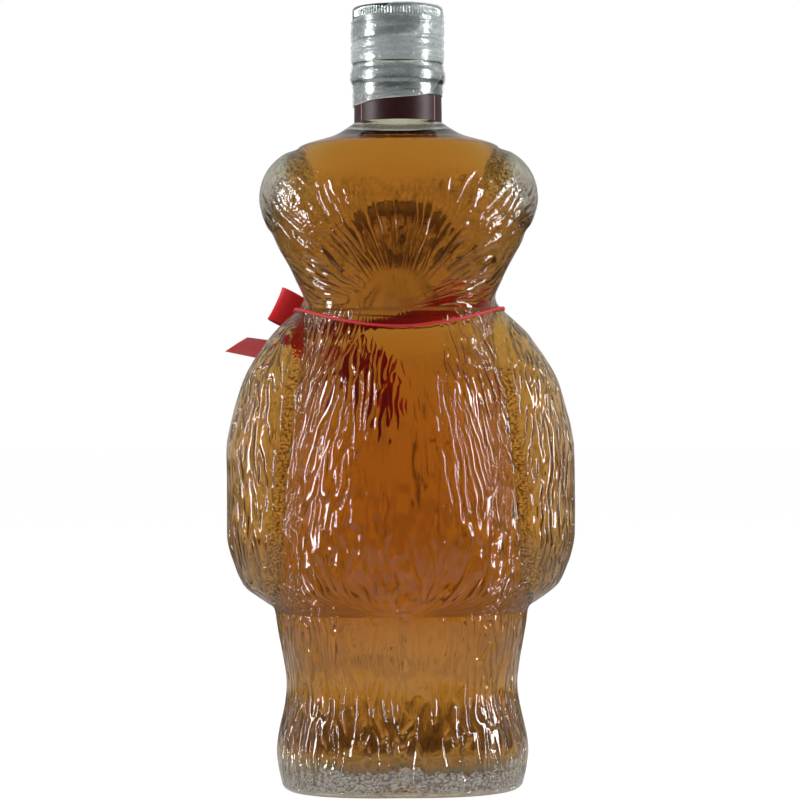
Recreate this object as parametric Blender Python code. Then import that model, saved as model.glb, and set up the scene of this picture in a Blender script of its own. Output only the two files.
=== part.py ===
"""A whisky bottle of pressed glass in the shape of a standing bear, with its roll-on cap and bow.

The bear looks along -Y and stands on z = 0, with the neck's axis on Z. Sizes are in metres. The glass is
one skin: a trunk of superellipses, with lobes for the arms, ears, muzzle and feet, a neck finish with a
thread and a locking ring, and a cavity that follows the outside at the wall's thickness. The cap is a
rolled aluminium shell whose thread lies in the valley of the glass thread.
"""

import math

import bmesh
import bpy
import numpy as np
from mathutils import Vector

# Heights on the body
HEEL_Z = 0.011
ANKLE_Z = 0.031
HIP_Z = 0.056
BELLY_Z = 0.090
CHEST_Z = 0.122
GROOVE_LOW_Z = 0.130
SHOULDER_Z = 0.138
WAIST_Z = 0.1495
JAW_Z = 0.1565
CHEEK_Z = 0.173
BROW_Z = 0.187
CROWN_Z = 0.1965
NAPE_Z = 0.2003
NECK_FOOT_Z = 0.2042

# Neck finish, from the inside out and from the foot up
BORE_RADIUS = 0.0095
NECK_RADIUS = 0.0133
THREAD_RELIEF = 0.0009  # the thread's root lies this far inside the neck
THREAD_DEPTH = 0.00095
THREAD_WIDTH = 0.0017
THREAD_PITCH = 0.00318
THREAD_TURNS = 1.6
THREAD_FADE = 0.12  # share of a turn over which each end of a thread runs out
LOCK_RING_STEP = 0.00065  # the locking ring stands this far out of the neck
LIP_ROUND = 0.0006
LABEL_HEIGHT = 0.0077
HEM_HEIGHT = 0.0034
BULGE_HEIGHT = 0.0054
COLLAR_HEIGHT = 0.0010
THREAD_LEAD_IN = 0.0052
LIP_HEIGHT = 0.0051

# Trunk: height, half width, half depth and squareness at each station
HEEL_HALF_WIDTH = 0.0387
WAIST_HALF_WIDTH = 0.0295
BELLY_HALF_DEPTH = 0.0380
TRUNK = (
    (0.0, 0.0368, 0.0347, 2.7),
    (HEEL_Z, HEEL_HALF_WIDTH, 0.0357, 2.6),
    (ANKLE_Z, 0.0355, 0.0327, 2.5),
    (HIP_Z, 0.0388, 0.0354, 2.5),
    (BELLY_Z, 0.0368, BELLY_HALF_DEPTH, 2.5),
    (CHEST_Z, 0.0335, 0.0350, 2.4),
    (SHOULDER_Z, 0.0312, 0.0300, 2.3),
    (WAIST_Z, WAIST_HALF_WIDTH, 0.0270, 2.3),
    (JAW_Z, 0.0322, 0.0278, 2.3),
    (CHEEK_Z, 0.0393, 0.0292, 2.4),
    (BROW_Z, 0.0358, 0.0276, 2.3),
    (CROWN_Z, 0.0308, 0.0240, 2.2),
    (NAPE_Z, 0.0197, 0.0176, 2.1),
    (NECK_FOOT_Z, NECK_RADIUS, NECK_RADIUS, 2.0),
)
NAPE_DIP = 0.0075  # the waist groove runs this much lower at the back
NAPE_DIP_SPREAD = 0.018
CHIN_DIP = 0.0165  # and this much lower under the chin
CHIN_DIP_SPREAD = 0.026
LEG_GROOVE = 0.0022
LEG_GROOVE_WIDTH = 0.0055

# Arms: height, reach from the axis, half width, half depth and place forward of the axis
ARM_REACH = 0.0538
ARM_HALF_WIDTH = 0.0190
ARM_HALF_DEPTH = 0.0220
ARM_FORWARD = 0.0030
ARM_LOW_Z = 0.053
ARM_FULL_LOW_Z = 0.078
ARM_FULL_HIGH_Z = 0.101
ARM = (
    (ARM_LOW_Z, 0.0350, 0.0060, 0.0070),
    (0.0565, 0.0420, 0.0110, 0.0125),
    (0.0625, 0.0493, 0.0155, 0.0178),
    (ARM_FULL_LOW_Z, ARM_REACH, ARM_HALF_WIDTH, ARM_HALF_DEPTH),
    (ARM_FULL_HIGH_Z, ARM_REACH, ARM_HALF_WIDTH, ARM_HALF_DEPTH),
    (CHEST_Z, 0.0496, 0.0176, 0.0208),
    (SHOULDER_Z, 0.0404, 0.0146, 0.0182),
    (WAIST_Z, 0.0282, 0.0100, 0.0140),
)

# Ellipsoid lobes: centre and half sizes. The ears and feet come in pairs.
EAR_CENTRE = (0.0252, 0.0030, 0.1829)
EAR_HALF_SIZE = (0.0155, 0.0150, 0.0129)
MUZZLE_CENTRE = (0.0, -0.0225, 0.1705)
MUZZLE_HALF_SIZE = (0.0130, 0.0135, 0.0105)
FOOT_CENTRE = (0.0165, -0.0215, 0.0060)
FOOT_HALF_SIZE = (0.0150, 0.0165, 0.0150)
CREASE_SHARPNESS = 26.0  # where two lobes meet
EAR_SHARPNESS = 8.0  # lower is rounder
EAR_FADE = 0.006  # an ear fades out where a ray crosses less of it than twice this

# Glass
WALL = 0.0030
BASE_THICKNESS = 0.0068
FLOOR_ROUND = 0.0060
HEEL_ROUND = 0.0020
PUNT_DEPTH = 0.0016
BEARING_INNER = 0.78  # share of the base outline
PUNT_INNER = 0.45
FILL_LEVEL_Z = 0.1975
FILL_GAP = 0.0003

# Cap, liner and band
CAP_WALL = 0.00025
CAP_CLEARANCE = 0.00025
CAP_CORNER = 0.0010
KNURL_HEIGHT = 0.0023
KNURL_DEPTH = 0.0003
KNURL_RIBS_PER_COLUMN = 3
BEAD_DROP = 0.0046  # from the cap's top to the bead's middle
BEAD_HEIGHT = 0.0010
BEAD_DEPTH = 0.00012
RIDGE_DEPTH = 0.00065
RIDGE_WIDTH = 0.0017
RIDGE_TURNS = 1.75
LINER_THICKNESS = 0.0012
LINER_RIM = 0.0004  # radial gap to the shell
BAND_WALL = 0.00022
BAND_CLEARANCE = 0.0002
BRIDGES = 12
BRIDGE_WIDTH = 0.0012
BRIDGE_HEIGHT = 0.0005
SEAT_GAP = 0.0003

# Label and film
LABEL_GAP = 0.00015
LABEL_THICKNESS = 0.00012
FILM_GAP = 0.00015
FILM_THICKNESS = 0.00012
FILM_TOP_OVERLAP = 0.0032
FILM_HEM = 0.0034  # the film covers this much of the label

# Elastic cord and ribbon bow
CORD_RADIUS = 0.00045
CORD_SIDE_Z = 0.1468
CORD_BACK_Z = 0.1408
CORD_FRONT_Z = 0.1358
CORD_GAP = 0.00035
RIBBON_WIDTH = 0.0112
RIBBON_THICKNESS = 0.0005
BOW_TURN = math.radians(-68.0)  # the bow's place round the axis
LOOP_LENGTH = 0.0265
LOOP_HALF_THICKNESS = 0.0034
LOOP_PINCH = 0.0009  # half gap of a loop at the knot
LOOP_RISE = {"left": math.radians(27.0), "right": math.radians(32.0)}
LOOP_FOLD = {"left": math.radians(0.0), "right": math.radians(24.0)}  # back from the tangent
KNOT_HALF_SIZE = (0.0036, 0.0026, 0.0048)
TAIL_START_WIDTH = 0.0052
TAIL_STAND = 0.0011  # a tail starts this much further out than the knot's middle
# A tail's middle and tip from its start: away from the knot, out from the axis, and up
TAIL_REACH = {
    "left": ((0.0185, 0.0090, 0.0045), (0.0358, 0.0127, 0.0069)),
    "right": ((0.0040, 0.0046, -0.0100), (0.0100, 0.0042, -0.0215)),
}
TAIL_TWIST = {"left": math.radians(68.0), "right": math.radians(8.0)}
TAIL_SLANT = 0.0052  # the cut end's slant

# Facets
BODY_COLUMNS = 56
CAVITY_COLUMNS = 28
SIDE_CROWDING = 0.17
CLOSURE_COLUMNS = 32
BELOW_WAIST_ROWS = 18
WAIST_ROWS = 11
HEAD_ROWS = 14
CAVITY_ROWS = 21
THREAD_ROWS_PER_TURN = 5
LOOP_STEPS = 26
TAIL_STEPS = 12

FULL_TURN = 2 * math.pi

# Heights of the finish, stacked from the neck's foot
LABEL_TOP_Z = NECK_FOOT_Z + LABEL_HEIGHT
BAND_LOW_Z = LABEL_TOP_Z + SEAT_GAP
HEM_TOP_Z = BAND_LOW_Z + HEM_HEIGHT
COLLAR_LOW_Z = HEM_TOP_Z + BULGE_HEIGHT
BAND_TOP_Z = COLLAR_LOW_Z + COLLAR_HEIGHT
CAP_LOW_Z = BAND_TOP_Z + SEAT_GAP
THREAD_LOW_Z = CAP_LOW_Z + THREAD_LEAD_IN
THREAD_TOP_Z = THREAD_LOW_Z + THREAD_TURNS * THREAD_PITCH
LIP_Z = THREAD_TOP_Z + LIP_HEIGHT
LINER_LOW_Z = LIP_Z + SEAT_GAP
LINER_TOP_Z = LINER_LOW_Z + LINER_THICKNESS
CAP_CEILING_Z = LINER_TOP_Z + SEAT_GAP
CAP_TOP_Z = CAP_CEILING_Z + CAP_WALL

# Radii of the finish, from the neck's radius out
THREAD_ROOT_RADIUS = NECK_RADIUS - THREAD_RELIEF
THREAD_CREST_RADIUS = THREAD_ROOT_RADIUS + THREAD_DEPTH
LOCK_RING_RADIUS = NECK_RADIUS + LOCK_RING_STEP
CAP_INNER_RADIUS = THREAD_CREST_RADIUS + CAP_CLEARANCE
CAP_RADIUS = CAP_INNER_RADIUS + CAP_WALL
HEM_INNER_RADIUS = NECK_RADIUS + BAND_CLEARANCE
BULGE_INNER_RADIUS = LOCK_RING_RADIUS + BAND_CLEARANCE
LABEL_INNER_RADIUS = NECK_RADIUS + LABEL_GAP


def clear_scene():
    """Remove whatever the scene holds."""
    for obj in list(bpy.data.objects):
        bpy.data.objects.remove(obj, do_unlink=True)


def principled(name, color, roughness, metallic=0.0, transmission=0.0, ior=1.5):
    """A plain Principled material."""
    material = bpy.data.materials.new(name)
    material.use_nodes = True
    shader = material.node_tree.nodes["Principled BSDF"]
    shader.inputs["Base Color"].default_value = (*color, 1.0)
    shader.inputs["Roughness"].default_value = roughness
    shader.inputs["Metallic"].default_value = metallic
    shader.inputs["Transmission Weight"].default_value = transmission
    shader.inputs["IOR"].default_value = ior
    return material


def solid(name, points, faces, material):
    """A closed, smooth-shaded object whose faces point out."""
    mesh = bpy.data.meshes.new(name)
    mesh.from_pydata([tuple(p) for p in points], [], faces)
    shell = bmesh.new()
    shell.from_mesh(mesh)
    bmesh.ops.recalc_face_normals(shell, faces=shell.faces)
    shell.to_mesh(mesh)
    shell.free()
    mesh.materials.append(material)
    mesh.shade_smooth()
    mesh.set_sharp_from_angle(angle=math.radians(40))
    obj = bpy.data.objects.new(name, mesh)
    bpy.context.collection.objects.link(obj)
    return obj


def turned(name, profile, material):
    """A closed profile of (radius, height), outer side first and downwards, turned round the axis."""
    mesh = bpy.data.meshes.new(name)
    points = [(radius, 0.0, height) for radius, height in profile]
    count = len(points)
    mesh.from_pydata(points, [(i, (i + 1) % count) for i in range(count)], [])
    mesh.materials.append(material)
    obj = bpy.data.objects.new(name, mesh)
    bpy.context.collection.objects.link(obj)
    screw = obj.modifiers.new("Turn", "SCREW")
    screw.axis = "Z"
    screw.steps = CLOSURE_COLUMNS
    screw.render_steps = CLOSURE_COLUMNS
    screw.use_merge_vertices = True
    screw.merge_threshold = 0.00001
    screw.use_smooth_shade = False
    return obj


class Skin:
    """A closed surface laid ring by ring. A ring of one point is a pole."""

    def __init__(self):
        self.points = []
        self.faces = []
        self.last = []

    def lay(self, points):
        """Add a ring and join it to the ring before it."""
        start = len(self.points)
        self.points.extend(np.asarray(points, float).tolist())
        ring = list(range(start, len(self.points)))
        if self.last:
            self.join(self.last, ring)
        self.last = ring

    def join(self, first, second):
        """Triangles between two rings, one of which may have a whole number of times as many points."""
        if len(first) < len(second):
            few, many = first, second
        else:
            few, many = second, first
        if len(few) == 1:
            for a, b in zip(many, many[1:] + many[:1]):
                self.faces.append((a, b, few[0]))
            return
        share = len(many) // len(few)
        for i, corner in enumerate(few):
            following = few[(i + 1) % len(few)]
            for k in range(share):
                a = many[i * share + k]
                b = many[(i * share + k + 1) % len(many)]
                self.faces.append((a, b, corner))
            self.faces.append((b, following, corner))


def angles(columns):
    """Even angles round the axis."""
    return np.arange(columns) * FULL_TURN / columns


def body_angles(columns):
    """Angles round the body, closer together at its sides, where the arms and ears are."""
    turn = angles(columns)
    return turn - SIDE_CROWDING * np.sin(2 * turn)


def circle(radius, height, turn):
    """A ring of points at these angles; radius and height may be arrays."""
    ring = [radius * np.cos(turn), radius * np.sin(turn), height + 0.0 * turn]
    return np.stack(np.broadcast_arrays(*ring), axis=1)


def through(stations, heights):
    """Smooth monotone curves through rows of (height, value, value...), read at the heights."""
    table = np.array(stations, float)
    knots, values = table[:, 0], table[:, 1:]
    steps = np.diff(knots)[:, None]
    slopes = np.diff(values, axis=0) / steps
    product = slopes[:-1] * slopes[1:]
    total = slopes[:-1] + slopes[1:]
    tangents = np.zeros_like(values)
    tangents[1:-1] = np.where(product > 0, 2 * product / np.where(product > 0, total, 1), 0)
    tangents[0], tangents[-1] = slopes[0], slopes[-1]
    heights = np.asarray(heights, float)
    place = np.clip(np.searchsorted(knots, heights) - 1, 0, len(knots) - 2)
    step = steps[place, 0][..., None]
    t = np.clip((heights - knots[place])[..., None] / step, 0, 1)
    start = (1 + 2 * t) * (1 - t) ** 2 * values[place] + t * (1 - t) ** 2 * step * tangents[place]
    end = t * t * (3 - 2 * t) * values[place + 1] + t * t * (t - 1) * step * tangents[place + 1]
    return np.moveaxis(start + end, -1, 0)


def far_side(turn, x, y, half_x, half_y, fade=0.0):
    """Where a ray from the axis at this angle leaves an ellipse, or 0 where it misses it.

    With a fade, the radius falls smoothly to 0 where half the ray's chord is shorter than it.
    """
    east, north = np.cos(turn), np.sin(turn)
    a = (east / half_x) ** 2 + (north / half_y) ** 2
    b = east * x / half_x**2 + north * y / half_y**2
    c = (x / half_x) ** 2 + (y / half_y) ** 2 - 1
    inside = b * b - a * c
    hit = (inside > 0) & (b > 0)
    half_chord = np.sqrt(np.where(hit, inside, 0)) / a
    share = np.clip(half_chord / fade, 0, 1) if fade else 1.0
    return np.where(hit, b / a + half_chord, 0) * share * share * (3 - 2 * share)


def ellipsoid(turn, height, centre, half_size, side=1, fade=0.0):
    """The far side of an ellipsoid lobe at these heights."""
    x, y, z = centre
    half_x, half_y, half_z = half_size
    shrink = np.sqrt(np.clip(1 - ((height - z) / half_z) ** 2, 0.0001, 1))
    radius = far_side(turn, side * x, y, half_x * shrink, half_y * shrink, fade)
    return np.where(np.abs(height - z) < half_z, radius, 0)


def smooth_union(radii, sharpness):
    """The outermost of several radii, with the creases between them rounded."""
    shares = np.stack(radii) / radii[0]
    return radii[0] * (shares**sharpness).sum(axis=0) ** (1 / sharpness)


def back_and_front(turn):
    """How far each angle faces the back and the front, from 0 at the sides to 1."""
    return np.clip(np.sin(turn), 0, 1) ** 2, np.clip(-np.sin(turn), 0, 1) ** 2


def body_radius(turn, height, with_ears=True):
    """The outside of the bear: the smooth union of its trunk and its lobes, as a radius."""
    turn, height = np.broadcast_arrays(turn, height)
    back, front = back_and_front(turn)
    nape = NAPE_DIP * back * np.exp(-(((height - WAIST_Z) / NAPE_DIP_SPREAD) ** 2))
    chin = CHIN_DIP * front * np.exp(-(((height - WAIST_Z) / CHIN_DIP_SPREAD) ** 2))
    half_x, half_y, square = through(TRUNK, height + nape + chin)
    east = np.abs(np.cos(turn) / half_x) ** square
    north = np.abs(np.sin(turn) / half_y) ** square
    trunk = (east + north) ** (-1 / square)
    groove = LEG_GROOVE * np.exp(-((trunk * np.cos(turn) / LEG_GROOVE_WIDTH) ** 2))
    legs = np.clip((HIP_Z - height) / (HIP_Z - ANKLE_Z), 0, 1) * np.clip(height / HEEL_Z, 0, 1)
    trunk = trunk - groove * legs
    if with_ears:
        ears = [ellipsoid(turn, height, EAR_CENTRE, EAR_HALF_SIZE, side, EAR_FADE) for side in (1, -1)]
        trunk = smooth_union([trunk, *ears], EAR_SHARPNESS)
    reach, arm_x, arm_y = through(ARM, height)
    has_arm = (height > ARM_LOW_Z) & (height < WAIST_Z)
    lobes = [trunk, ellipsoid(turn, height, MUZZLE_CENTRE, MUZZLE_HALF_SIZE)]
    for side in (1, -1):
        arm = far_side(turn, side * (reach - arm_x), -ARM_FORWARD, arm_x, arm_y)
        lobes.append(np.where(has_arm, arm, 0))
        lobes.append(ellipsoid(turn, height, FOOT_CENTRE, FOOT_HALF_SIZE, side))
    return smooth_union(lobes, CREASE_SHARPNESS)


def cavity_radius(turn, height):
    """The inside of the wall: the outside less the wall measured square to it, and never under the bore.

    The ears are solid glass, so the cavity doesn't follow them.
    """
    step = 0.0005
    above = body_radius(turn, height + step, with_ears=False)
    below = body_radius(turn, height - step, with_ears=False)
    lean = (above - below) / (2 * step)
    inside = body_radius(turn, height, with_ears=False) - WALL * np.sqrt(1 + lean**2)
    above_floor = np.clip((height - BASE_THICKNESS) / FLOOR_ROUND, 0, 1)
    inside = inside - FLOOR_ROUND * (1 - np.sqrt(1 - (1 - above_floor) ** 2))
    return np.maximum(inside, BORE_RADIUS)


def spread_heights(low, high, count, radius):
    """Heights that divide the outline into even steps, side and back counted together."""
    fine = np.linspace(low, high, 600)
    outline = [radius(turn, fine) for turn in (0.0, math.pi / 2, 0.5)]
    lengths = np.sqrt(np.diff(fine) ** 2 + sum(np.diff(line) ** 2 for line in outline) / 2)
    along = np.concatenate([[0], np.cumsum(lengths)])
    return np.interp(np.linspace(0, along[-1], count), along, fine)


def body_heights():
    """Heights of the body's rings, closer together in the waist groove."""
    low = spread_heights(HEEL_ROUND, GROOVE_LOW_Z, BELOW_WAIST_ROWS, body_radius)
    waist = spread_heights(GROOVE_LOW_Z, JAW_Z, WAIST_ROWS, body_radius)
    head = spread_heights(JAW_Z, NECK_FOOT_Z, HEAD_ROWS, body_radius)
    return np.concatenate([low, waist[1:], head[1:]])


def cavity_heights():
    """Heights of the cavity's rings from the neck's foot down to its floor, with one at the fill level."""
    below = spread_heights(BASE_THICKNESS, FILL_LEVEL_Z, CAVITY_ROWS, cavity_radius)[::-1]
    above = np.linspace(NECK_FOOT_Z, FILL_LEVEL_Z, 4)[:-1]
    return np.concatenate([above, below])


def helix(name, low_z, turns, sections, material):
    """A helical bar: sections(fade) gives the corners of its cross-section as (radius, height offset)."""
    steps = int(math.ceil(turns * BODY_COLUMNS))
    skin = Skin()
    for k in range(steps + 1):
        done = turns * k / steps
        fade = min(done, turns - done, THREAD_FADE) / THREAD_FADE
        turn = FULL_TURN * done
        z = low_z + THREAD_PITCH * done
        corners = sections(math.sin(fade * math.pi / 2))
        ring = [(r * math.cos(turn), r * math.sin(turn), z + dz) for r, dz in corners]
        if k == 0:
            skin.lay([np.mean(ring, axis=0)])
        skin.lay(ring)
    skin.lay([np.mean(ring, axis=0)])
    return solid(name, skin.points, skin.faces, material)


def boolean(obj, tool, operation):
    """Join or cut with a helper object that isn't a piece of its own."""
    tool.hide_render = True
    tool.display_type = "WIRE"
    modifier = obj.modifiers.new(tool.name, "BOOLEAN")
    modifier.operation = operation
    modifier.solver = "EXACT"
    modifier.object = tool


def glass_bottle():
    """The bottle: base, body, finish, bore and cavity as one skin, and the thread joined to its neck."""
    glass = principled("clear_glass", (0.93, 0.95, 0.93), 0.03, transmission=1.0, ior=1.52)
    turn = body_angles(BODY_COLUMNS)
    inner = body_angles(CAVITY_COLUMNS)
    foot = body_radius(turn, HEEL_ROUND)
    skin = Skin()
    skin.lay([(0.0, 0.0, PUNT_DEPTH)])
    skin.lay(circle(foot * PUNT_INNER, PUNT_DEPTH, turn))
    skin.lay(circle(foot * BEARING_INNER, 0.0, turn))
    for lean in (0.0, 45.0):
        lean = math.radians(lean)
        shrink = HEEL_ROUND * (1 - math.sin(lean))
        skin.lay(circle(foot - shrink, HEEL_ROUND * (1 - math.cos(lean)), turn))
    for height in body_heights():
        skin.lay(circle(body_radius(turn, height), height, turn))
    ring_low, ring_high = HEM_TOP_Z, COLLAR_LOW_Z
    ease = LOCK_RING_STEP
    profile = [
        (NECK_RADIUS, ring_low + 1.2 * ease),
        (LOCK_RING_RADIUS - 0.4 * ease, ring_low + 2.2 * ease),
        (LOCK_RING_RADIUS, ring_low + 3.4 * ease),
        (LOCK_RING_RADIUS, ring_high - 3.4 * ease),
        (LOCK_RING_RADIUS - 0.5 * ease, ring_high - 1.9 * ease),
        (THREAD_ROOT_RADIUS, ring_high - 0.4 * ease),
        (THREAD_ROOT_RADIUS, LIP_Z - LIP_ROUND),
        (THREAD_ROOT_RADIUS - 0.3 * LIP_ROUND, LIP_Z - 0.3 * LIP_ROUND),
        (THREAD_ROOT_RADIUS - LIP_ROUND, LIP_Z),
    ]
    for radius, height in profile:
        skin.lay(circle(radius, height, turn))
    skin.lay(circle(BORE_RADIUS + LIP_ROUND, LIP_Z, inner))
    skin.lay(circle(BORE_RADIUS, LIP_Z - LIP_ROUND, inner))
    for height in cavity_heights():
        skin.lay(circle(cavity_radius(inner, height), height, inner))
    skin.lay([(0.0, 0.0, BASE_THICKNESS)])
    bottle = solid("glass_bottle", skin.points, skin.faces, glass)

    def section(fade):
        half = THREAD_WIDTH / 2
        sink = THREAD_ROOT_RADIUS - THREAD_DEPTH / 2
        crest = THREAD_ROOT_RADIUS + THREAD_DEPTH * fade - (1 - fade) * THREAD_DEPTH * 0.3
        return [(sink, -half), (sink, half), (crest, half * 0.4), (crest, -half * 0.4)]

    thread = helix("thread_tool", THREAD_LOW_Z, THREAD_TURNS, section, glass)
    boolean(bottle, thread, "UNION")


def whisky_fill():
    """The whisky: the cavity below its level, with the gap that separate solids keep."""
    whisky = principled("whisky", (0.62, 0.30, 0.06), 0.0, transmission=1.0, ior=1.36)
    inner = body_angles(CAVITY_COLUMNS)
    skin = Skin()
    skin.lay([(0.0, 0.0, FILL_LEVEL_Z)])
    for height in cavity_heights():
        if height > FILL_LEVEL_Z + FILL_GAP / 2:
            continue
        lift = FILL_GAP if height < BASE_THICKNESS + FILL_GAP else 0.0
        radius = cavity_radius(inner, height) - 1.6 * FILL_GAP
        skin.lay(circle(radius, height + lift, inner))
    skin.lay([(0.0, 0.0, BASE_THICKNESS + FILL_GAP)])
    solid("whisky_fill", skin.points, skin.faces, whisky)


def rolled_thread(turn, height):
    """Depth of the thread rolled into the cap's skirt: it follows the valley below the glass thread."""
    low = THREAD_LOW_Z - THREAD_PITCH / 2 - (RIDGE_TURNS - THREAD_TURNS) * THREAD_PITCH
    depth = np.zeros_like(turn)
    for lap in range(-1, int(RIDGE_TURNS) + 2):
        done = turn / FULL_TURN + lap
        middle = low + THREAD_PITCH * done
        fade = np.clip(np.minimum(done, RIDGE_TURNS - done) / THREAD_FADE, 0, 1)
        across = np.clip(np.abs(height - middle) / (RIDGE_WIDTH / 2), 0, 1)
        depth = np.maximum(depth, RIDGE_DEPTH * fade * np.cos(across * math.pi / 2) ** 2)
    return depth


def cap_shell(aluminium):
    """The cap: knurled top, bead, and a thin skirt with the thread rolled in."""
    turn = angles(CLOSURE_COLUMNS)
    knurls = angles(CLOSURE_COLUMNS * 2 * KNURL_RIBS_PER_COLUMN)
    wave = np.where(np.arange(len(knurls)) % 2 == 0, 0.0, KNURL_DEPTH)
    knurl_top = CAP_TOP_Z - CAP_CORNER
    knurl_low = knurl_top - KNURL_HEIGHT
    bead = CAP_TOP_Z - BEAD_DROP
    low = CAP_LOW_Z + THREAD_LEAD_IN / 4
    high = THREAD_TOP_Z + THREAD_PITCH / 6
    count = int(round((high - low) / (THREAD_PITCH / THREAD_ROWS_PER_TURN))) + 1
    rows = np.linspace(high, low, count)
    skin = Skin()
    skin.lay([(0.0, 0.0, CAP_TOP_Z)])
    skin.lay(circle(CAP_RADIUS - CAP_CORNER, CAP_TOP_Z, turn))
    skin.lay(circle(CAP_RADIUS - 0.3 * CAP_CORNER, CAP_TOP_Z - 0.3 * CAP_CORNER, turn))
    skin.lay(circle(CAP_RADIUS, knurl_top, turn))
    skin.lay(circle(CAP_RADIUS - wave, knurl_top - KNURL_DEPTH, knurls))
    skin.lay(circle(CAP_RADIUS - wave, knurl_low + KNURL_DEPTH, knurls))
    skin.lay(circle(CAP_RADIUS, knurl_low, turn))
    skin.lay(circle(CAP_RADIUS, bead + BEAD_HEIGHT / 2, turn))
    skin.lay(circle(CAP_RADIUS + BEAD_DEPTH, bead, turn))
    skin.lay(circle(CAP_RADIUS, bead - BEAD_HEIGHT / 2, turn))
    for height in rows:
        skin.lay(circle(CAP_RADIUS - rolled_thread(turn, height), height, turn))
    skin.lay(circle(CAP_RADIUS, CAP_LOW_Z, turn))
    skin.lay(circle(CAP_INNER_RADIUS, CAP_LOW_Z, turn))
    for height in rows[::-1]:
        skin.lay(circle(CAP_INNER_RADIUS - rolled_thread(turn, height), height, turn))
    shelf = knurl_low - CAP_WALL
    crown = CAP_INNER_RADIUS - KNURL_DEPTH
    skin.lay(circle(CAP_INNER_RADIUS, shelf, turn))
    skin.lay(circle(crown, knurl_low + KNURL_DEPTH, turn))
    skin.lay(circle(crown, CAP_CEILING_Z - CAP_CORNER / 2, turn))
    skin.lay(circle(crown - CAP_CORNER / 2, CAP_CEILING_Z, turn))
    skin.lay([(0.0, 0.0, CAP_CEILING_Z)])
    solid("cap_shell", skin.points, skin.faces, aluminium)


def cap_liner():
    """The soft disc under the cap's top, with a shallow ring pressed up by the lip."""
    foam = principled("liner_foam", (0.86, 0.86, 0.84), 0.7)
    radius = CAP_INNER_RADIUS - KNURL_DEPTH - LINER_RIM
    corner = min(CAP_CORNER / 2, LINER_THICKNESS / 3)
    profile = [
        (0.0, LINER_TOP_Z),
        (radius - 2 * corner, LINER_TOP_Z),
        (radius, LINER_TOP_Z - 2 * corner),
        (radius, LINER_LOW_Z),
        (0.0, LINER_LOW_Z),
    ]
    turned("cap_liner", profile, foam)


def band_profile():
    """The band's inside, top to bottom, as (radius, height): collar, bulge over the ring, hem below it."""
    ease = LOCK_RING_STEP
    bulge = BULGE_INNER_RADIUS
    return [
        (CAP_INNER_RADIUS, BAND_TOP_Z),
        (CAP_INNER_RADIUS, COLLAR_LOW_Z),
        (bulge, COLLAR_LOW_Z - 2.2 * ease),
        (bulge, HEM_TOP_Z + 3.0 * ease),
        (0.5 * (bulge + HEM_INNER_RADIUS), HEM_TOP_Z + 1.2 * ease),
        (HEM_INNER_RADIUS, HEM_TOP_Z),
        (HEM_INNER_RADIUS, BAND_LOW_Z),
    ]


def tamper_band(aluminium):
    """The pilfer-proof ring, with slots between the bridges at its upper edge."""
    inside = band_profile()
    outside = [(radius + BAND_WALL, height) for radius, height in inside]
    band = turned("tamper_band", outside + inside[::-1], aluminium)
    reach = CAP_RADIUS + BAND_WALL
    half = math.pi / BRIDGES - BRIDGE_WIDTH / (2 * CAP_RADIUS)
    points = []
    faces = []
    for k in range(BRIDGES):
        middle = FULL_TURN * (k + 0.5) / BRIDGES
        start = len(points)
        for radius in (CAP_INNER_RADIUS - BAND_WALL * 2, reach):
            for side in (-half, 0.0, half):
                for z in (BAND_TOP_Z - BRIDGE_HEIGHT, BAND_TOP_Z + BRIDGE_HEIGHT):
                    turn = middle + side
                    points.append((radius * math.cos(turn), radius * math.sin(turn), z))
        for face in ((0, 1, 3, 2), (2, 3, 5, 4), (6, 8, 9, 7), (8, 10, 11, 9), (0, 6, 7, 1)):
            faces.append(tuple(start + i for i in face))
        for face in ((4, 5, 11, 10), (0, 2, 8, 6), (2, 4, 10, 8), (1, 7, 9, 3), (3, 9, 11, 5)):
            faces.append(tuple(start + i for i in face))
    slots = solid("perforation_tool", points, faces, aluminium)
    boolean(band, slots, "DIFFERENCE")


def seal_film(film):
    """The shrink film, parted at the tear line between cap and band."""
    out = FILM_GAP + FILM_THICKNESS
    top = CAP_TOP_Z + FILM_GAP
    skirt = CAP_RADIUS + BEAD_DEPTH + FILM_GAP
    corner = 0.3 * CAP_CORNER
    upper = [
        (skirt - CAP_CORNER - FILM_TOP_OVERLAP, top + FILM_THICKNESS),
        (skirt + FILM_THICKNESS - CAP_CORNER, top + FILM_THICKNESS),
        (skirt + FILM_THICKNESS - corner, top + FILM_THICKNESS - corner),
        (skirt + FILM_THICKNESS, top + FILM_THICKNESS - CAP_CORNER),
        (skirt + FILM_THICKNESS, CAP_LOW_Z),
        (skirt, CAP_LOW_Z),
        (skirt, top - CAP_CORNER),
        (skirt - corner, top - corner),
        (skirt - CAP_CORNER, top),
        (skirt - CAP_CORNER - FILM_TOP_OVERLAP, top),
    ]
    turned("seal_film_upper", upper, film)
    over_band = [(radius + BAND_WALL + out, height) for radius, height in band_profile()]
    over_label = LABEL_INNER_RADIUS + LABEL_THICKNESS + out
    low = LABEL_TOP_Z - FILM_HEM
    outside = over_band[:-1] + [(over_band[-1][0], BAND_LOW_Z - SEAT_GAP)]
    outside += [(over_label, LABEL_TOP_Z - 3 * SEAT_GAP), (over_label, low)]
    inside = [(radius - FILM_THICKNESS, height) for radius, height in outside]
    turned("seal_film_lower", outside + inside[::-1], film)


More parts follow.
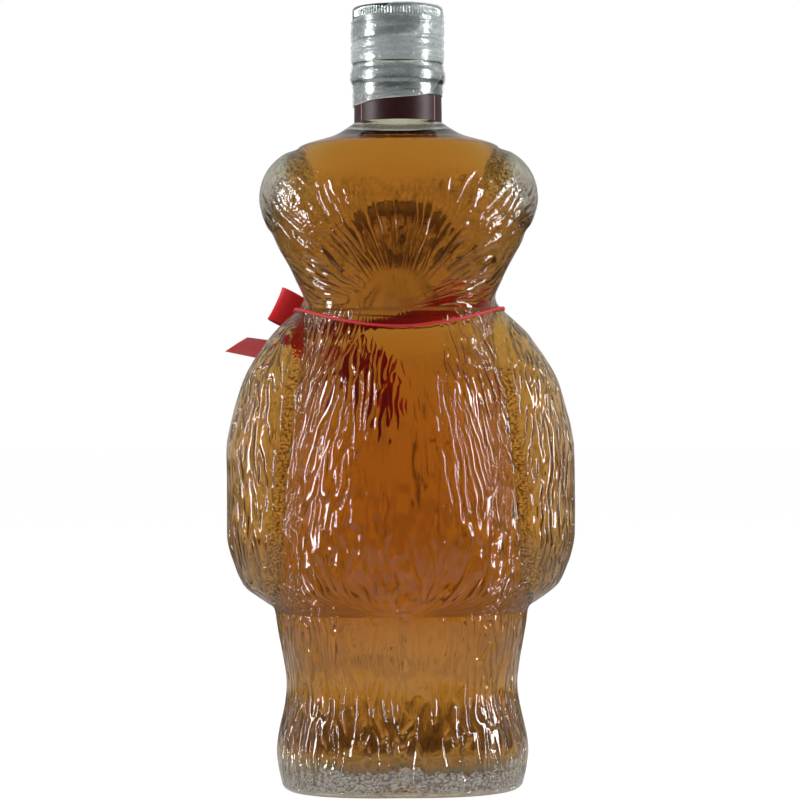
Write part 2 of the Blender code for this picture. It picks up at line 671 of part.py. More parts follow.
def neck_label():
    """The paper label, a plain tube round the neck."""
    paper = principled("label_paper", (0.16, 0.03, 0.04), 0.75)
    outer = LABEL_INNER_RADIUS + LABEL_THICKNESS
    profile = [
        (outer, LABEL_TOP_Z),
        (outer, NECK_FOOT_Z),
        (LABEL_INNER_RADIUS, NECK_FOOT_Z),
        (LABEL_INNER_RADIUS, LABEL_TOP_Z),
    ]
    turned("neck_label", profile, paper)


def cord_height(turn):
    """The cord sits in the waist groove, lower at the back and under the chin."""
    back, front = back_and_front(turn)
    return CORD_SIDE_Z + (CORD_BACK_Z - CORD_SIDE_Z) * back + (CORD_FRONT_Z - CORD_SIDE_Z) * front


def elastic_cord():
    """The elastic: a closed round cord that follows the waist."""
    red = principled("elastic_red", (0.60, 0.03, 0.04), 0.6)
    turn = body_angles(BODY_COLUMNS)
    height = cord_height(turn)
    radius = body_radius(turn, height) + CORD_RADIUS + CORD_GAP
    curve = bpy.data.curves.new("elastic_cord", "CURVE")
    curve.dimensions = "3D"
    curve.bevel_depth = CORD_RADIUS
    curve.bevel_resolution = 1
    curve.use_fill_caps = True
    curve.materials.append(red)
    spline = curve.splines.new("POLY")
    spline.points.add(len(turn) - 1)
    for point, r, a, z in zip(spline.points, radius, turn, height):
        point.co = (r * math.cos(a), r * math.sin(a), z, 1.0)
    spline.use_cyclic_u = True
    obj = bpy.data.objects.new("elastic_cord", curve)
    bpy.context.collection.objects.link(obj)


def ribbon(name, centres, across, faces_out, widths, material, closed=False, slant=0.0):
    """A strip of ribbon: a flat section carried along its centre line, closed or with a slanted end."""
    skin = Skin()
    rows = []
    for centre, side, face, width in zip(centres, across, faces_out, widths):
        half = side * width / 2
        lift = face * RIBBON_THICKNESS / 2
        rows.append([centre - half - lift, centre + half - lift, centre + half + lift, centre - half + lift])
    if closed:
        for row in rows:
            skin.lay(row)
        skin.join(skin.last, [0, 1, 2, 3])
    else:
        cut = (centres[-1] - centres[-2]).normalized() * slant / 2
        rows[-1] = [rows[-1][0] + cut, rows[-1][1] - cut, rows[-1][2] - cut, rows[-1][3] + cut]
        skin.lay([np.mean(rows[0], axis=0)])
        for row in rows:
            skin.lay(row)
        skin.lay([np.mean(rows[-1], axis=0)])
    solid(name, skin.points, skin.faces, material)


def ribbon_bow():
    """The bow on the front of the waist: a wrapped knot, two loops that rise, two tails that fall."""
    satin = principled("ribbon_satin", (0.60, 0.02, 0.03), 0.35)
    height = float(cord_height(np.array(BOW_TURN)))
    surface = float(body_radius(np.array(BOW_TURN), np.array(height)))
    out = Vector((math.cos(BOW_TURN), math.sin(BOW_TURN), 0.0))
    side = Vector((-math.sin(BOW_TURN), math.cos(BOW_TURN), 0.0))
    up = Vector((0.0, 0.0, 1.0))
    seat = surface + 2 * CORD_RADIUS + CORD_GAP + SEAT_GAP
    centre = out * (seat + KNOT_HALF_SIZE[1]) + up * height

    knot = bpy.data.meshes.new("bow_knot")
    shape = bmesh.new()
    bmesh.ops.create_cube(shape, size=2.0)
    for vert in shape.verts:
        x, y, z = vert.co
        squeeze = 1.0 - 0.18 * abs(x)
        place = out * y * KNOT_HALF_SIZE[1] - side * x * KNOT_HALF_SIZE[0]
        vert.co = centre + place + up * z * KNOT_HALF_SIZE[2] * squeeze
    shape.normal_update()
    edges = list(shape.edges)
    round_off = min(KNOT_HALF_SIZE) * 0.55
    bmesh.ops.bevel(shape, geom=edges, offset=round_off, segments=2, profile=0.6, affect="EDGES")
    bmesh.ops.recalc_face_normals(shape, faces=shape.faces)
    shape.to_mesh(knot)
    shape.free()
    knot.materials.append(satin)
    knot.shade_smooth()
    bpy.context.collection.objects.link(bpy.data.objects.new("bow_knot", knot))

    for hand, sign in (("left", 1), ("right", -1)):
        bow_loop(hand, centre, side * sign, out, satin)
        bow_tail(hand, centre, side * sign, out, satin)


def bow_loop(hand, centre, away, out, satin):
    """One loop: a drop-shaped band that opens outwards from the knot and rises."""
    up = Vector((0.0, 0.0, 1.0))
    rise, fold = LOOP_RISE[hand], LOOP_FOLD[hand]
    level = away * math.cos(fold) - out * math.sin(fold)
    face = out * math.cos(fold) + away * math.sin(fold)
    along = level * math.cos(rise) + up * math.sin(rise)
    width_way = up * math.cos(rise) - level * math.sin(rise)
    start = centre + away * (KNOT_HALF_SIZE[0] + SEAT_GAP + RIBBON_THICKNESS)
    swell = LOOP_HALF_THICKNESS - LOOP_PINCH
    centres, across, normals, widths = [], [], [], []
    for k in range(LOOP_STEPS):
        t = FULL_TURN * k / LOOP_STEPS
        open_share = math.sin(t / 2) ** 2
        thick = LOOP_PINCH + swell * open_share
        lift = swell * open_share
        ahead = 0.5 * LOOP_LENGTH * math.sin(t)
        outward = thick * math.cos(t) + 0.5 * swell * math.sin(t) * (math.sin(t) + 1)
        normals.append((along * outward - face * ahead).normalized())
        centres.append(start + along * LOOP_LENGTH * open_share + face * (thick * math.sin(t) + lift))
        across.append((up * (1 - open_share) + width_way * open_share).normalized())
        widths.append(RIBBON_WIDTH * (0.62 + 0.38 * math.sin(t / 2)))
    ribbon(f"bow_loop_{hand}", centres, across, normals, widths, satin, closed=True)


def bow_tail(hand, centre, away, out, satin):
    """One tail: a strip on a quadratic curve from under the knot, turning over, its end cut slanting."""
    up = Vector((0.0, 0.0, 1.0))
    drop = KNOT_HALF_SIZE[2] + SEAT_GAP + TAIL_START_WIDTH / 2
    start = centre + away * KNOT_HALF_SIZE[0] * 0.5 + out * TAIL_STAND - up * drop
    offsets = []
    for reach, stand, rise in TAIL_REACH[hand]:
        offsets.append(away * reach + out * stand + up * rise)
    middle, tip = offsets
    centres, across, normals, widths = [], [], [], []
    for k in range(TAIL_STEPS + 1):
        t = k / TAIL_STEPS
        heading = (middle * (1 - t) + (tip - middle) * t).normalized()
        face = (out - heading * out.dot(heading)).normalized()
        edge = heading.cross(face) * (1 if heading.cross(face).z > 0 else -1)
        twist = TAIL_TWIST[hand] * math.sin(t * math.pi / 2)
        normals.append(face * math.cos(twist) + edge * math.sin(twist))
        across.append(edge * math.cos(twist) - face * math.sin(twist))
        centres.append(start + middle * 2 * t * (1 - t) + tip * t * t)
        widths.append(TAIL_START_WIDTH + (RIBBON_WIDTH - TAIL_START_WIDTH) * min(1.0, 2.5 * t))
    ribbon(f"bow_tail_{hand}", centres, across, normals, widths, satin, slant=TAIL_SLANT)


def main():
    """Build every piece."""
    clear_scene()
    aluminium = principled("aluminium", (0.72, 0.73, 0.74), 0.32, metallic=1.0)
    film = principled("clear_film", (0.92, 0.94, 0.94), 0.12, transmission=0.9, ior=1.45)
    glass_bottle()
    whisky_fill()
    cap_shell(aluminium)
    cap_liner()
    tamper_band(aluminium)
    seal_film(film)
    neck_label()
    elastic_cord()
    ribbon_bow()


main()
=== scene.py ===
"""Looks of a whisky bottle of pressed glass, shaped as a standing bear, with its roll-on cap and bow.

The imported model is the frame. Every piece here is a surface worked out with numpy in that frame: metres,
+Z up, the bear looking along -Y. The script dresses the construction: glass with its combed fur, the
whisky, the rolled cap under its shrink film, the paper label, the elastic and the satin bow.
"""

import logging
import math
from dataclasses import dataclass, field
from enum import Enum

import bpy
import numpy as np
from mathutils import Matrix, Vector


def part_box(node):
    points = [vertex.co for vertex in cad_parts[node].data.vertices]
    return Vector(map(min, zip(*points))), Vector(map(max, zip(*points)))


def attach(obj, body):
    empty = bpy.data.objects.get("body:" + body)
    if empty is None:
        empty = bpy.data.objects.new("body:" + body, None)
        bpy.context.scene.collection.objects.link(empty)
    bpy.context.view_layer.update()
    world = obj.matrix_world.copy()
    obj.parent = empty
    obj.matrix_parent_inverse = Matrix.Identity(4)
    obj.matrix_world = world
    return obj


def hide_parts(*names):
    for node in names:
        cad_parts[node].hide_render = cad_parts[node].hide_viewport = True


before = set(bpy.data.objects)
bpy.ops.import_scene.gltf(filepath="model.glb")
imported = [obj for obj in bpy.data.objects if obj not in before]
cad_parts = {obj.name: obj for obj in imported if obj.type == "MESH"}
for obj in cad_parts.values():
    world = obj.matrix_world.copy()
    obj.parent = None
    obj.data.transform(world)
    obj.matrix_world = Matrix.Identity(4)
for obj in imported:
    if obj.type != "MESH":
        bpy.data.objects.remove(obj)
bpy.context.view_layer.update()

FULL_TURN = 2 * math.pi
MILLIMETRE = 0.001
THREAD_PITCH = 0.00318
LINER_GAP = 0.0003
WHITE = (1.0, 1.0, 1.0, 1.0)

Colour = tuple[float, float, float, float]
Triple = tuple[float, float, float]
Fade = tuple[float, float]
Span = tuple[float, float, float, float]
Socket = bpy.types.NodeSocket
Piece = bpy.types.Object
Array = np.ndarray

log = logging.getLogger("bottle")


class Hand(Enum):
    """The two halves of the bow, and the way each leaves the knot."""

    LEFT = 1
    RIGHT = -1


class Body(Enum):
    """The bodies that pieces ride on."""

    BOTTLE = "bottle"
    LINER = "liner"
    CAP = "cap"
    BAND = "band"


def smooth_step(low: float, high: float, value: Array) -> Array:
    """Rises from 0 at low to 1 at high along 3t squared less 2t cubed."""
    t = np.clip((value - low) / (high - low), 0.0, 1.0)
    return t * t * (3.0 - 2.0 * t)


def within(span: Span, value: Array) -> Array:
    """1 between a span's two inner values, falling smoothly to 0 at its outer ones."""
    return smooth_step(span[0], span[1], value) * smooth_step(span[3], span[2], value)


def angles(columns: int) -> Array:
    """Even angles round the axis, starting at +X."""
    return np.arange(columns) * FULL_TURN / columns


def unit(vectors: Array) -> Array:
    """The vectors, each brought to a length of 1."""
    return vectors / np.linalg.norm(vectors, axis=-1, keepdims=True)


def on_circle(radius: Array, height: Array, turn: Array) -> Array:
    """Points at these radii, heights above the floor and angles round the axis, broadcast together."""
    radius, height, turn = np.broadcast_arrays(radius, height, turn)
    return np.stack([radius * np.cos(turn), radius * np.sin(turn), height], axis=-1)


def through(stations: Array, heights: Array) -> Array:
    """Smooth monotone curves through stations, read at the heights.

    Each curve is a cubic Hermite spline whose slope at a station is the harmonic mean of the slopes on
    both sides, or level where they differ in sign.

    Args:
        stations: rows of (height, value, value...), lowest first.
        heights: heights to read at, of any shape.

    Returns:
        One array of the heights' shape for each value.
    """
    table = np.asarray(stations, float)
    knots, values = table[:, 0], table[:, 1:]
    slopes = np.diff(values, axis=0) / np.diff(knots)[:, None]
    product = slopes[:-1] * slopes[1:]
    total = slopes[:-1] + slopes[1:]
    tangents = np.zeros_like(values)
    tangents[1:-1] = np.where(product > 0, 2 * product / np.where(product > 0, total, 1), 0)
    tangents[0], tangents[-1] = slopes[0], slopes[-1]
    heights = np.asarray(heights, float)
    place = np.clip(np.searchsorted(knots, heights) - 1, 0, len(knots) - 2)
    step = np.diff(knots)[place][..., None]
    t = np.clip((heights - knots[place])[..., None] / step, 0, 1)
    start = (1 + 2 * t) * (1 - t) ** 2 * values[place] + t * (1 - t) ** 2 * step * tangents[place]
    end = t * t * (3 - 2 * t) * values[place + 1] + t * t * (t - 1) * step * tangents[place + 1]
    return np.moveaxis(start + end, -1, 0)


class GradientNoise:
    """Smooth noise of about -1 to 1: random slopes on a lattice, blended by a quintic between its points."""

    def __init__(self, seed: int) -> None:
        """Draw the lattice's slopes.

        Args:
            seed: the seed of the generator that draws them.
        """
        draw = np.random.default_rng(seed)
        self.order = np.tile(draw.permutation(256), 2)
        slopes = draw.normal(size=(256, 3))
        self.slopes = unit(slopes)

    def __call__(self, points: Array) -> Array:
        """The noise at points whose unit is one lattice cell.

        Args:
            points: an array whose last axis is x, y, z.

        Returns:
            An array without that axis.
        """
        cell = np.floor(points).astype(int)
        inside = points - cell
        blend = inside**3 * (inside * (inside * 6 - 15) + 10)
        total = np.zeros(points.shape[:-1])
        for corner in np.ndindex(2, 2, 2):
            corner = np.array(corner)
            index = (cell + corner) & 255
            key = self.order[self.order[self.order[index[..., 0]] + index[..., 1]] + index[..., 2]]
            weight = np.prod(np.where(corner == 1, blend, 1 - blend), axis=-1)
            total += weight * np.sum(self.slopes[key] * (inside - corner), axis=-1)
        return total * 1.6


def add_object(name: str, data: bpy.types.ID) -> Piece:
    """A new object of a mesh, a lamp or a camera, linked to the scene at the origin.

    Args:
        name: the object's name.
        data: what it holds.

    Returns:
        The object.
    """
    made = bpy.data.objects.new(name, data)
    bpy.context.scene.collection.objects.link(made)
    return made


class Skin:
    """A surface laid ring by ring with whole arrays. Going up an outside, its faces point out."""

    def __init__(self) -> None:
        """Start with no rings."""
        self.blocks: list[Array] = []
        self.faces: list[Array] = []
        self.wears: list[int] = []
        self.wear = 0
        self.count = 0
        self.last = np.zeros(0, int)

    def lay(self, rings: Array) -> None:
        """Add rings of one length and join them to each other and to the ring before.

        Args:
            rings: points of shape (rings, columns, 3); a ring of one column is a pole.
        """
        rows, columns, _ = rings.shape
        index = self.count + np.arange(rows * columns).reshape(rows, columns)
        self.blocks.append(rings.reshape(-1, 3))
        self.count += rows * columns
        if len(self.last):
            self.join(self.last, index[0])
        if rows > 1:
            after = np.roll(index, -1, axis=1)
            quads = np.stack([index[:-1], after[:-1], after[1:], index[1:]], axis=-1)
            self.add_faces(quads.reshape(-1, 4))
        self.last = index[-1]

    def add_faces(self, faces: Array) -> None:
        """Keep faces, and which of the piece's finishes they wear."""
        self.faces.append(faces)
        self.wears.append(self.wear)

    def pole(self, height: float) -> None:
        """Close the surface on the axis at a height."""
        self.lay(np.array([[[0.0, 0.0, height]]]))

    def join(self, first: Array, second: Array) -> None:
        """Faces between two rings, one of which may have a whole number of times as many points.

        Args:
            first: the points' numbers in the lower ring.
            second: the points' numbers in the upper ring.
        """
        if len(first) == len(second):
            quads = [first, np.roll(first, -1), np.roll(second, -1), second]
            self.add_faces(np.stack(quads, axis=1))
            return
        forward = len(first) > len(second)
        many, few = (first, second) if forward else (second, first)
        share = len(many) // len(few)
        corner = np.repeat(few, share)
        fans = np.stack([many, np.roll(many, -1), corner], axis=1)
        self.add_faces(fans if forward else fans[:, [2, 1, 0]])
        if len(few) > 1:
            edge = np.stack([np.roll(many[::share], -1), np.roll(few, -1), few], axis=1)
            self.add_faces(edge if forward else edge[:, ::-1])

    def close(self) -> None:
        """Join the last ring to the first, for a profile that returns to its start."""
        self.join(self.last, np.arange(len(self.blocks[0]))[: len(self.last)])

    def mesh(self, name: str) -> bpy.types.Mesh:
        """The mesh of all that has been laid.

        Args:
            name: the mesh's name.

        Returns:
            The mesh, with no finish yet.
        """
        mesh = bpy.data.meshes.new(name)
        faces = [face for block in self.faces for face in block.tolist()]
        mesh.from_pydata(np.concatenate(self.blocks).tolist(), [], faces)
        return mesh

    def piece(self, name: str, *finishes: "Finish", sharp_degrees: float = 180.0) -> Piece:
        """Make the object, smooth shaded, with edges sharper than an angle kept sharp.

        Args:
            name: the piece's name.
            finishes: what dresses it, in the order of the numbers that its faces wear.
            sharp_degrees: edges that bend more than this stay sharp.

        Returns:
            The object.
        """
        mesh = self.mesh(name)
        wears = np.repeat(self.wears, [len(block) for block in self.faces])
        mesh.polygons.foreach_set("material_index", wears.astype(np.int32))
        mesh.shade_smooth()
        if sharp_degrees < 180.0:
            mesh.set_sharp_from_angle(angle=math.radians(sharp_degrees))
        for finish in finishes:
            mesh.materials.append(finish.material())
        return add_object(name, mesh)


def sleeve(outer: Array, inner: Array, inner_wear: int = 0) -> Skin:
    """A closed skin of an outer and an inner face.

    Args:
        outer: the outer face's rings, lowest first.
        inner: the inner face's rings, lowest first.
        inner_wear: the number of the inner face's finish.

    Returns:
        The skin.
    """
    skin = Skin()
    skin.lay(outer)
    skin.wear = inner_wear
    skin.lay(inner[::-1])
    skin.close()
    return skin


def give_attribute(piece: Piece, name: str, values: Array) -> None:
    """Store one number or vector for each point of a piece's mesh.

    Args:
        piece: the object.
        name: the attribute's name, which its material reads.
        values: an array of shape (points,) or (points, 3).
    """
    kind, key = ("FLOAT", "value") if values.ndim == 1 else ("FLOAT_VECTOR", "vector")
    layer = piece.data.attributes.new(name, kind, "POINT")
    layer.data.foreach_set(key, np.ascontiguousarray(values, np.float32).ravel())


def give_uv(piece: Piece, places: Array) -> None:
    """Store a UV place for each corner of a piece's faces.

    Args:
        piece: the object.
        places: a place in metres for each point, of shape (points, 2).
    """
    mesh = piece.data
    corners = np.zeros(len(mesh.loops), int)
    mesh.loops.foreach_get("vertex_index", corners)
    layer = mesh.uv_layers.new(name="metres")
    layer.data.foreach_set("uv", places[corners].astype(np.float32).ravel())


def settle(piece: Piece, body: Body, node: str) -> Piece:
    """Let a piece ride on its body and stand for a node of the frame, whose own part is hidden.

    Args:
        piece: the object.
        body: the body that carries it.
        node: the node that it stands for.

    Returns:
        The same object.
    """
    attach(piece, body.value)
    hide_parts(node)
    log.info("%s: %d faces on body %s", piece.name, len(piece.data.polygons), body.value)
    return piece


class Nodes:
    """The nodes of a material or of the world, built from small steps that hand sockets on."""

    def __init__(self, tree: bpy.types.NodeTree) -> None:
        """Work on a tree."""
        self.tree = tree

    def feed(self, socket: Socket, value: object) -> None:
        """Set a socket, or link another one to it.

        Args:
            socket: the input.
            value: a number, a colour or an output socket.
        """
        if isinstance(value, Socket):
            self.tree.links.new(value, socket)
        else:
            socket.default_value = value

    def node(self, kind: str, *ordered: object, **named: object) -> bpy.types.Node:
        """A node with its first inputs fed in their order, or inputs fed by name.

        Args:
            kind: the node's type.
            ordered: values or sockets, for a node whose inputs share a name.
            named: values or sockets; an underscore in a name stands for a space.

        Returns:
            The node.
        """
        made = self.tree.nodes.new(kind)
        for socket, value in zip(made.inputs, ordered):
            self.feed(socket, value)
        for name, value in named.items():
            self.feed(made.inputs[name.replace("_", " ")], value)
        return made

    def sum(self, operation: str, first: object, second: object = 0.0) -> Socket:
        """One step of arithmetic.

        Args:
            operation: the step's name in the Math node.
            first: a number or socket.
            second: a number or socket.

        Returns:
            The result's socket.
        """
        made = self.node("ShaderNodeMath", first, second)
        made.operation = operation
        return made.outputs[0]

    def remap(
        self, value: Socket, low: float, high: float, start: float, end: float, smooth: bool = False
    ) -> Socket:
        """Carry one range over to another, clamped.

        Args:
            value: the number to carry over.
            low: where the first range starts.
            high: where the first range ends.
            start: what low becomes.
            end: what high becomes.
            smooth: whether the change eases in and out.

        Returns:
            The result's socket.
        """
        made = self.node("ShaderNodeMapRange", value, low, high, start, end)
        if smooth:
            made.interpolation_type = "SMOOTHSTEP"
        return made.outputs[0]

    def choose(self, share: object, otherwise: Socket, chosen: Socket) -> Socket:
        """A shader mixed from two, by the share of the second."""
        return self.node("ShaderNodeMixShader", share, otherwise, chosen).outputs[0]


class Paint(Nodes):
    """The nodes of one material that ends in a Principled shader."""

    def __init__(self, name: str) -> None:
        """Start a material with its shader.

        Args:
            name: the material's name.
        """
        self.material = bpy.data.materials.new(name)
        self.material.use_nodes = True
        super().__init__(self.material.node_tree)
        self.shader = self.tree.nodes["Principled BSDF"]
        self.output = self.tree.nodes["Material Output"]

    def set(self, **inputs: object) -> None:
        """Set or link inputs of the Principled shader; an underscore stands for a space."""
        for name, value in inputs.items():
            self.feed(self.shader.inputs[name.replace("_", " ")], value)

    def place(self, scale: Triple = (1.0, 1.0, 1.0), output: str = "Object") -> Socket:
        """The piece's own coordinates, scaled along each axis."""
        coordinates = self.node("ShaderNodeTexCoord").outputs[output]
        return self.node("ShaderNodeMapping", Vector=coordinates, Scale=scale).outputs[0]

    def uv(self, scale: Triple = (1.0, 1.0, 1.0)) -> Socket:
        """The piece's own UV map, which is in metres, scaled along each axis."""
        return self.place(scale, "UV")

    def noise(
        self,
        where: Socket,
        width: float,
        detail: float = 2.0,
        roughness: float = 0.5,
        distortion: float = 0.0,
    ) -> Socket:
        """A noise of 0 to 1.

        Args:
            where: the place to read it at.
            width: the width of one cell, in metres.
            detail: how many finer octaves it has.
            roughness: how strong the finer octaves are.
            distortion: how far the cells are pulled out of shape.

        Returns:
            The noise's socket.
        """
        return self.node(
            "ShaderNodeTexNoise",
            Vector=where,
            Scale=1 / width,
            Detail=detail,
            Roughness=roughness,
            Distortion=distortion,
        ).outputs["Fac"]

    def blend(self, share: object, first: object, second: object) -> Socket:
        """A mix of two colours.

        Args:
            share: the share of the second.
            first: a colour or socket.
            second: a colour or socket.

        Returns:
            The colour's socket.
        """
        made = self.tree.nodes.new("ShaderNodeMix")
        made.data_type = "RGBA"
        for index, value in ((0, share), (6, first), (7, second)):
            self.feed(made.inputs[index], value)
        return made.outputs[2]

    def bump(self, height: Socket, depth: float, under: Socket | None = None) -> Socket:
        """A normal that stands for a relief.

        Args:
            height: a height of 0 to 1.
            depth: the real depth that a height of 1 stands for, in metres.
            under: a coarser normal that this one lies on.

        Returns:
            The normal's socket.
        """
        made = self.node("ShaderNodeBump", Strength=1.0, Distance=depth, Height=height)
        if under is not None:
            self.feed(made.inputs["Normal"], under)
        return made.outputs["Normal"]

    def attribute(self, name: str, output: str = "Fac") -> Socket:
        """What the mesh holds for each point.

        Args:
            name: the attribute's name.
            output: Fac for a number, Vector for a vector.

        Returns:
            The value's socket.
        """
        made = self.tree.nodes.new("ShaderNodeAttribute")
        made.attribute_name = name
        return made.outputs[output]


@dataclass(frozen=True)
class Finish:
    """A finish that makes its material once."""

    name: str

    def material(self) -> bpy.types.Material:
        """The material, made at its first use.

        Returns:
            The one material of this name.
        """
        found = bpy.data.materials.get(self.name)
        if found:
            return found
        paint = Paint(self.name)
        self.dress(paint)
        return paint.material

    def dress(self, paint: Paint) -> None:
        """Set the shader up; each finish has its own way."""
        raise NotImplementedError


@dataclass(frozen=True)
class PressedGlass(Finish):
    """Clear flint glass whose outside was pressed with fine combed strands."""

    tint: Colour = (0.955, 0.942, 0.82, 1.0)
    index: float = 1.52
    polish: float = 0.07
    strand_width: float = 2.6 * MILLIMETRE
    strand_depth: float = 0.60 * MILLIMETRE
    groove_width: float = 0.20
    pebble_width: float = 0.9 * MILLIMETRE
    pebble_depth: float = 0.18 * MILLIMETRE
    shade_speck_width: float = 0.9 * MILLIMETRE
    # the colour of the painted shade: dark speckles in the glass
    painted_shade_colour: Colour = (0.12, 0.025, 0.012, 1.0)

    def dress(self, paint: Paint) -> None:
        """Strands are long flat pads, parted by narrow grooves where a noise crosses its middle.

        The noise is read in strand coordinates. With d the noise's distance from its middle and w the
        groove's width, the pads' height is d squared over the sum of d squared and w squared. The mesh's
        fur attribute scales it. Its shade_speck attribute says where painted shade lies: dark speckles
        in the glass's colour that stand for the darkness seen through the relief.

        Args:
            paint: the material's nodes.
        """
        strands = paint.attribute("strand", "Vector")
        fur = paint.attribute("fur")
        lock = paint.noise(strands, self.strand_width, detail=0.0)
        off = paint.sum("MULTIPLY", paint.sum("SUBTRACT", lock, 0.5), 2.0)
        square = paint.sum("MULTIPLY", off, off)
        pad = paint.sum("DIVIDE", square, paint.sum("ADD", square, self.groove_width**2))
        combed = paint.bump(paint.sum("MULTIPLY", pad, fur), self.strand_depth)
        pebble = paint.noise(paint.place(), self.pebble_width, detail=1.0)
        orange_peel = paint.sum("MULTIPLY", pebble, paint.attribute("pebble"))
        # painted shade: a noise sets dark speckles into the glass's colour where the mesh's attribute allows
        shade_specks = paint.noise(paint.place((1.0, 1.0, 1.6)), self.shade_speck_width, detail=3.0, distortion=0.6)
        dark = paint.sum("MULTIPLY", paint.attribute("shade_speck"), paint.remap(shade_specks, 0.47, 0.56, 0.0, 1.0))
        paint.set(
            Base_Color=paint.blend(dark, self.tint, self.painted_shade_colour),
            Roughness=self.polish,
            IOR=self.index,
            Transmission_Weight=1.0,
            Normal=paint.bump(orange_peel, self.pebble_depth, combed),
        )


@dataclass(frozen=True)
class WettedGlass(Finish):
    """The inside of the glass where whisky wets it: light bends there only by the ratio of the two."""

    index: float = 1.52 / 1.36

    def dress(self, paint: Paint) -> None:
        """A clear surface whose index is the glass's over the whisky's."""
        paint.set(Base_Color=WHITE, Roughness=0.0, IOR=self.index, Transmission_Weight=1.0)


@dataclass(frozen=True)
class Spirit(Finish):
    """Whisky: amber through its depth. Against air it bends light, and against glass the glass does that."""

    index: float = 1.36
    density: float = 80.0
    colour: Colour = (0.90, 0.65, 0.12, 1.0)

    def dress(self, paint: Paint) -> None:
        """A clear shader, and a volume that takes green and blue away with depth.

        Args:
            paint: the material's nodes.
        """
        paint.set(Base_Color=WHITE, Roughness=0.0, IOR=self.index, Transmission_Weight=1.0)
        depth = paint.node("ShaderNodeVolumeAbsorption", Color=self.colour, Density=self.density)
        paint.tree.links.new(depth.outputs[0], paint.output.inputs["Volume"])


@dataclass(frozen=True)
class RolledAluminium(Finish):
    """Bare rolled aluminium with fine marks round the axis and dull scuffs."""

    colour: Colour = (0.35, 0.385, 0.38, 1.0)
    scuffed: Colour = (0.20, 0.225, 0.22, 1.0)
    mark_width: float = 0.12 * MILLIMETRE
    scuff_width: float = 4.0 * MILLIMETRE
    dent_width: float = 1.7 * MILLIMETRE
    dent_depth: float = 0.17 * MILLIMETRE
    mark_depth: float = 0.006 * MILLIMETRE
    polished: float = 0.15
    dulled: float = 0.30
    marked: float = 0.08

    def dress(self, paint: Paint) -> None:
        """Marks are a noise stretched round the axis; scuffs change colour and roughness; dents are slow.

        Args:
            paint: the material's nodes.
        """
        scuff = paint.noise(paint.place(), self.scuff_width, detail=4.0, roughness=0.65)
        marks = paint.noise(paint.place((0.05, 0.05, 1.0)), self.mark_width)
        dents = paint.noise(paint.place((0.6, 0.6, 1.0)), self.dent_width, detail=1.0)
        share = paint.remap(scuff, 0.42, 0.68, 0.0, 1.0)
        dull = paint.remap(scuff, 0.35, 0.7, self.polished, self.dulled)
        rough = paint.sum("ADD", dull, paint.sum("MULTIPLY", marks, self.marked))
        paint.set(
            Base_Color=paint.blend(share, self.colour, self.scuffed),
            Metallic=1.0,
            Roughness=rough,
            Normal=paint.bump(marks, self.mark_depth, paint.bump(dents, self.dent_depth)),
        )


@dataclass(frozen=True)
class LinerFoam(Finish):
    """The soft white disc inside the cap."""

    colour: Colour = (0.82, 0.82, 0.80, 1.0)
    shade: Colour = (0.74, 0.74, 0.71, 1.0)
    cell: float = 0.25 * MILLIMETRE
    cell_depth: float = 0.03 * MILLIMETRE

    def dress(self, paint: Paint) -> None:
        """Fine closed cells, seen as a small bump and a change of shade.

        Args:
            paint: the material's nodes.
        """
        cells = paint.noise(paint.place(), self.cell)
        paint.set(
            Base_Color=paint.blend(cells, self.colour, self.shade),
            Roughness=0.7,
            Normal=paint.bump(cells, self.cell_depth),
        )


@dataclass(frozen=True)
class ShrinkFilm(Finish):
    """Film so thin that light goes straight through: mostly clear, with milky streaks and fine creases."""

    milk: Colour = (0.56, 0.61, 0.61, 1.0)
    index: float = 1.9
    clear_share: float = 0.06
    haze_share: float = 0.20
    streak_share: float = 0.30
    streak_width: float = 1.5 * MILLIMETRE
    crease_width: float = 1.5 * MILLIMETRE
    crease_depth: float = 0.30 * MILLIMETRE

    def dress(self, paint: Paint) -> None:
        """How much shows is a share, plus the mesh's haze, plus streaks that run round the neck.

        Args:
            paint: the material's nodes.
        """
        creases = paint.noise(
            paint.place((0.5, 0.5, 1.0)), self.crease_width, detail=3.0, roughness=0.6, distortion=1.2
        )
        streaks = paint.noise(paint.place((0.12, 0.12, 1.0)), self.streak_width, detail=3.0, roughness=0.6)
        milky = paint.sum("MULTIPLY", paint.attribute("haze"), self.haze_share)
        streaky = paint.remap(streaks, 0.5, 0.75, self.clear_share, self.clear_share + self.streak_share)
        paint.set(
            Base_Color=self.milk,
            Roughness=0.14,
            IOR=self.index,
            Alpha=paint.sum("ADD", milky, streaky),
            Normal=paint.bump(creases, self.crease_depth),
        )


@dataclass(frozen=True)
class PrintedPaper(Finish):
    """Maroon label paper with a thin pale frame line and nothing else on it."""

    ground: Colour = (0.024, 0.0025, 0.004, 1.0)
    worn: Colour = (0.045, 0.007, 0.009, 1.0)
    line: Colour = (0.42, 0.30, 0.26, 1.0)
    frame_half_width: float = 13.3 * MILLIMETRE
    line_width: float = 0.22 * MILLIMETRE
    fibre: float = 0.5 * MILLIMETRE
    fibre_depth: float = 0.02 * MILLIMETRE

    def dress(self, paint: Paint) -> None:
        """The UV map gives the distance round from the middle of each side; the line lies at one distance.

        Args:
            paint: the material's nodes.
        """
        where = paint.node("ShaderNodeSeparateXYZ", Vector=paint.uv())
        off = paint.sum("ABSOLUTE", paint.sum("SUBTRACT", where.outputs[0], self.frame_half_width))
        drawn = paint.remap(off, self.line_width * 0.4, self.line_width * 0.7, 1.0, 0.0)
        fibres = paint.noise(paint.place(), self.fibre, detail=3.0)
        wear = paint.remap(fibres, 0.45, 0.75, 0.0, 1.0)
        paper = paint.blend(wear, self.ground, self.worn)
        paint.set(
            Base_Color=paint.blend(drawn, paper, self.line),
            Roughness=0.45,
            Specular_IOR_Level=0.3,
            Normal=paint.bump(fibres, self.fibre_depth),
        )


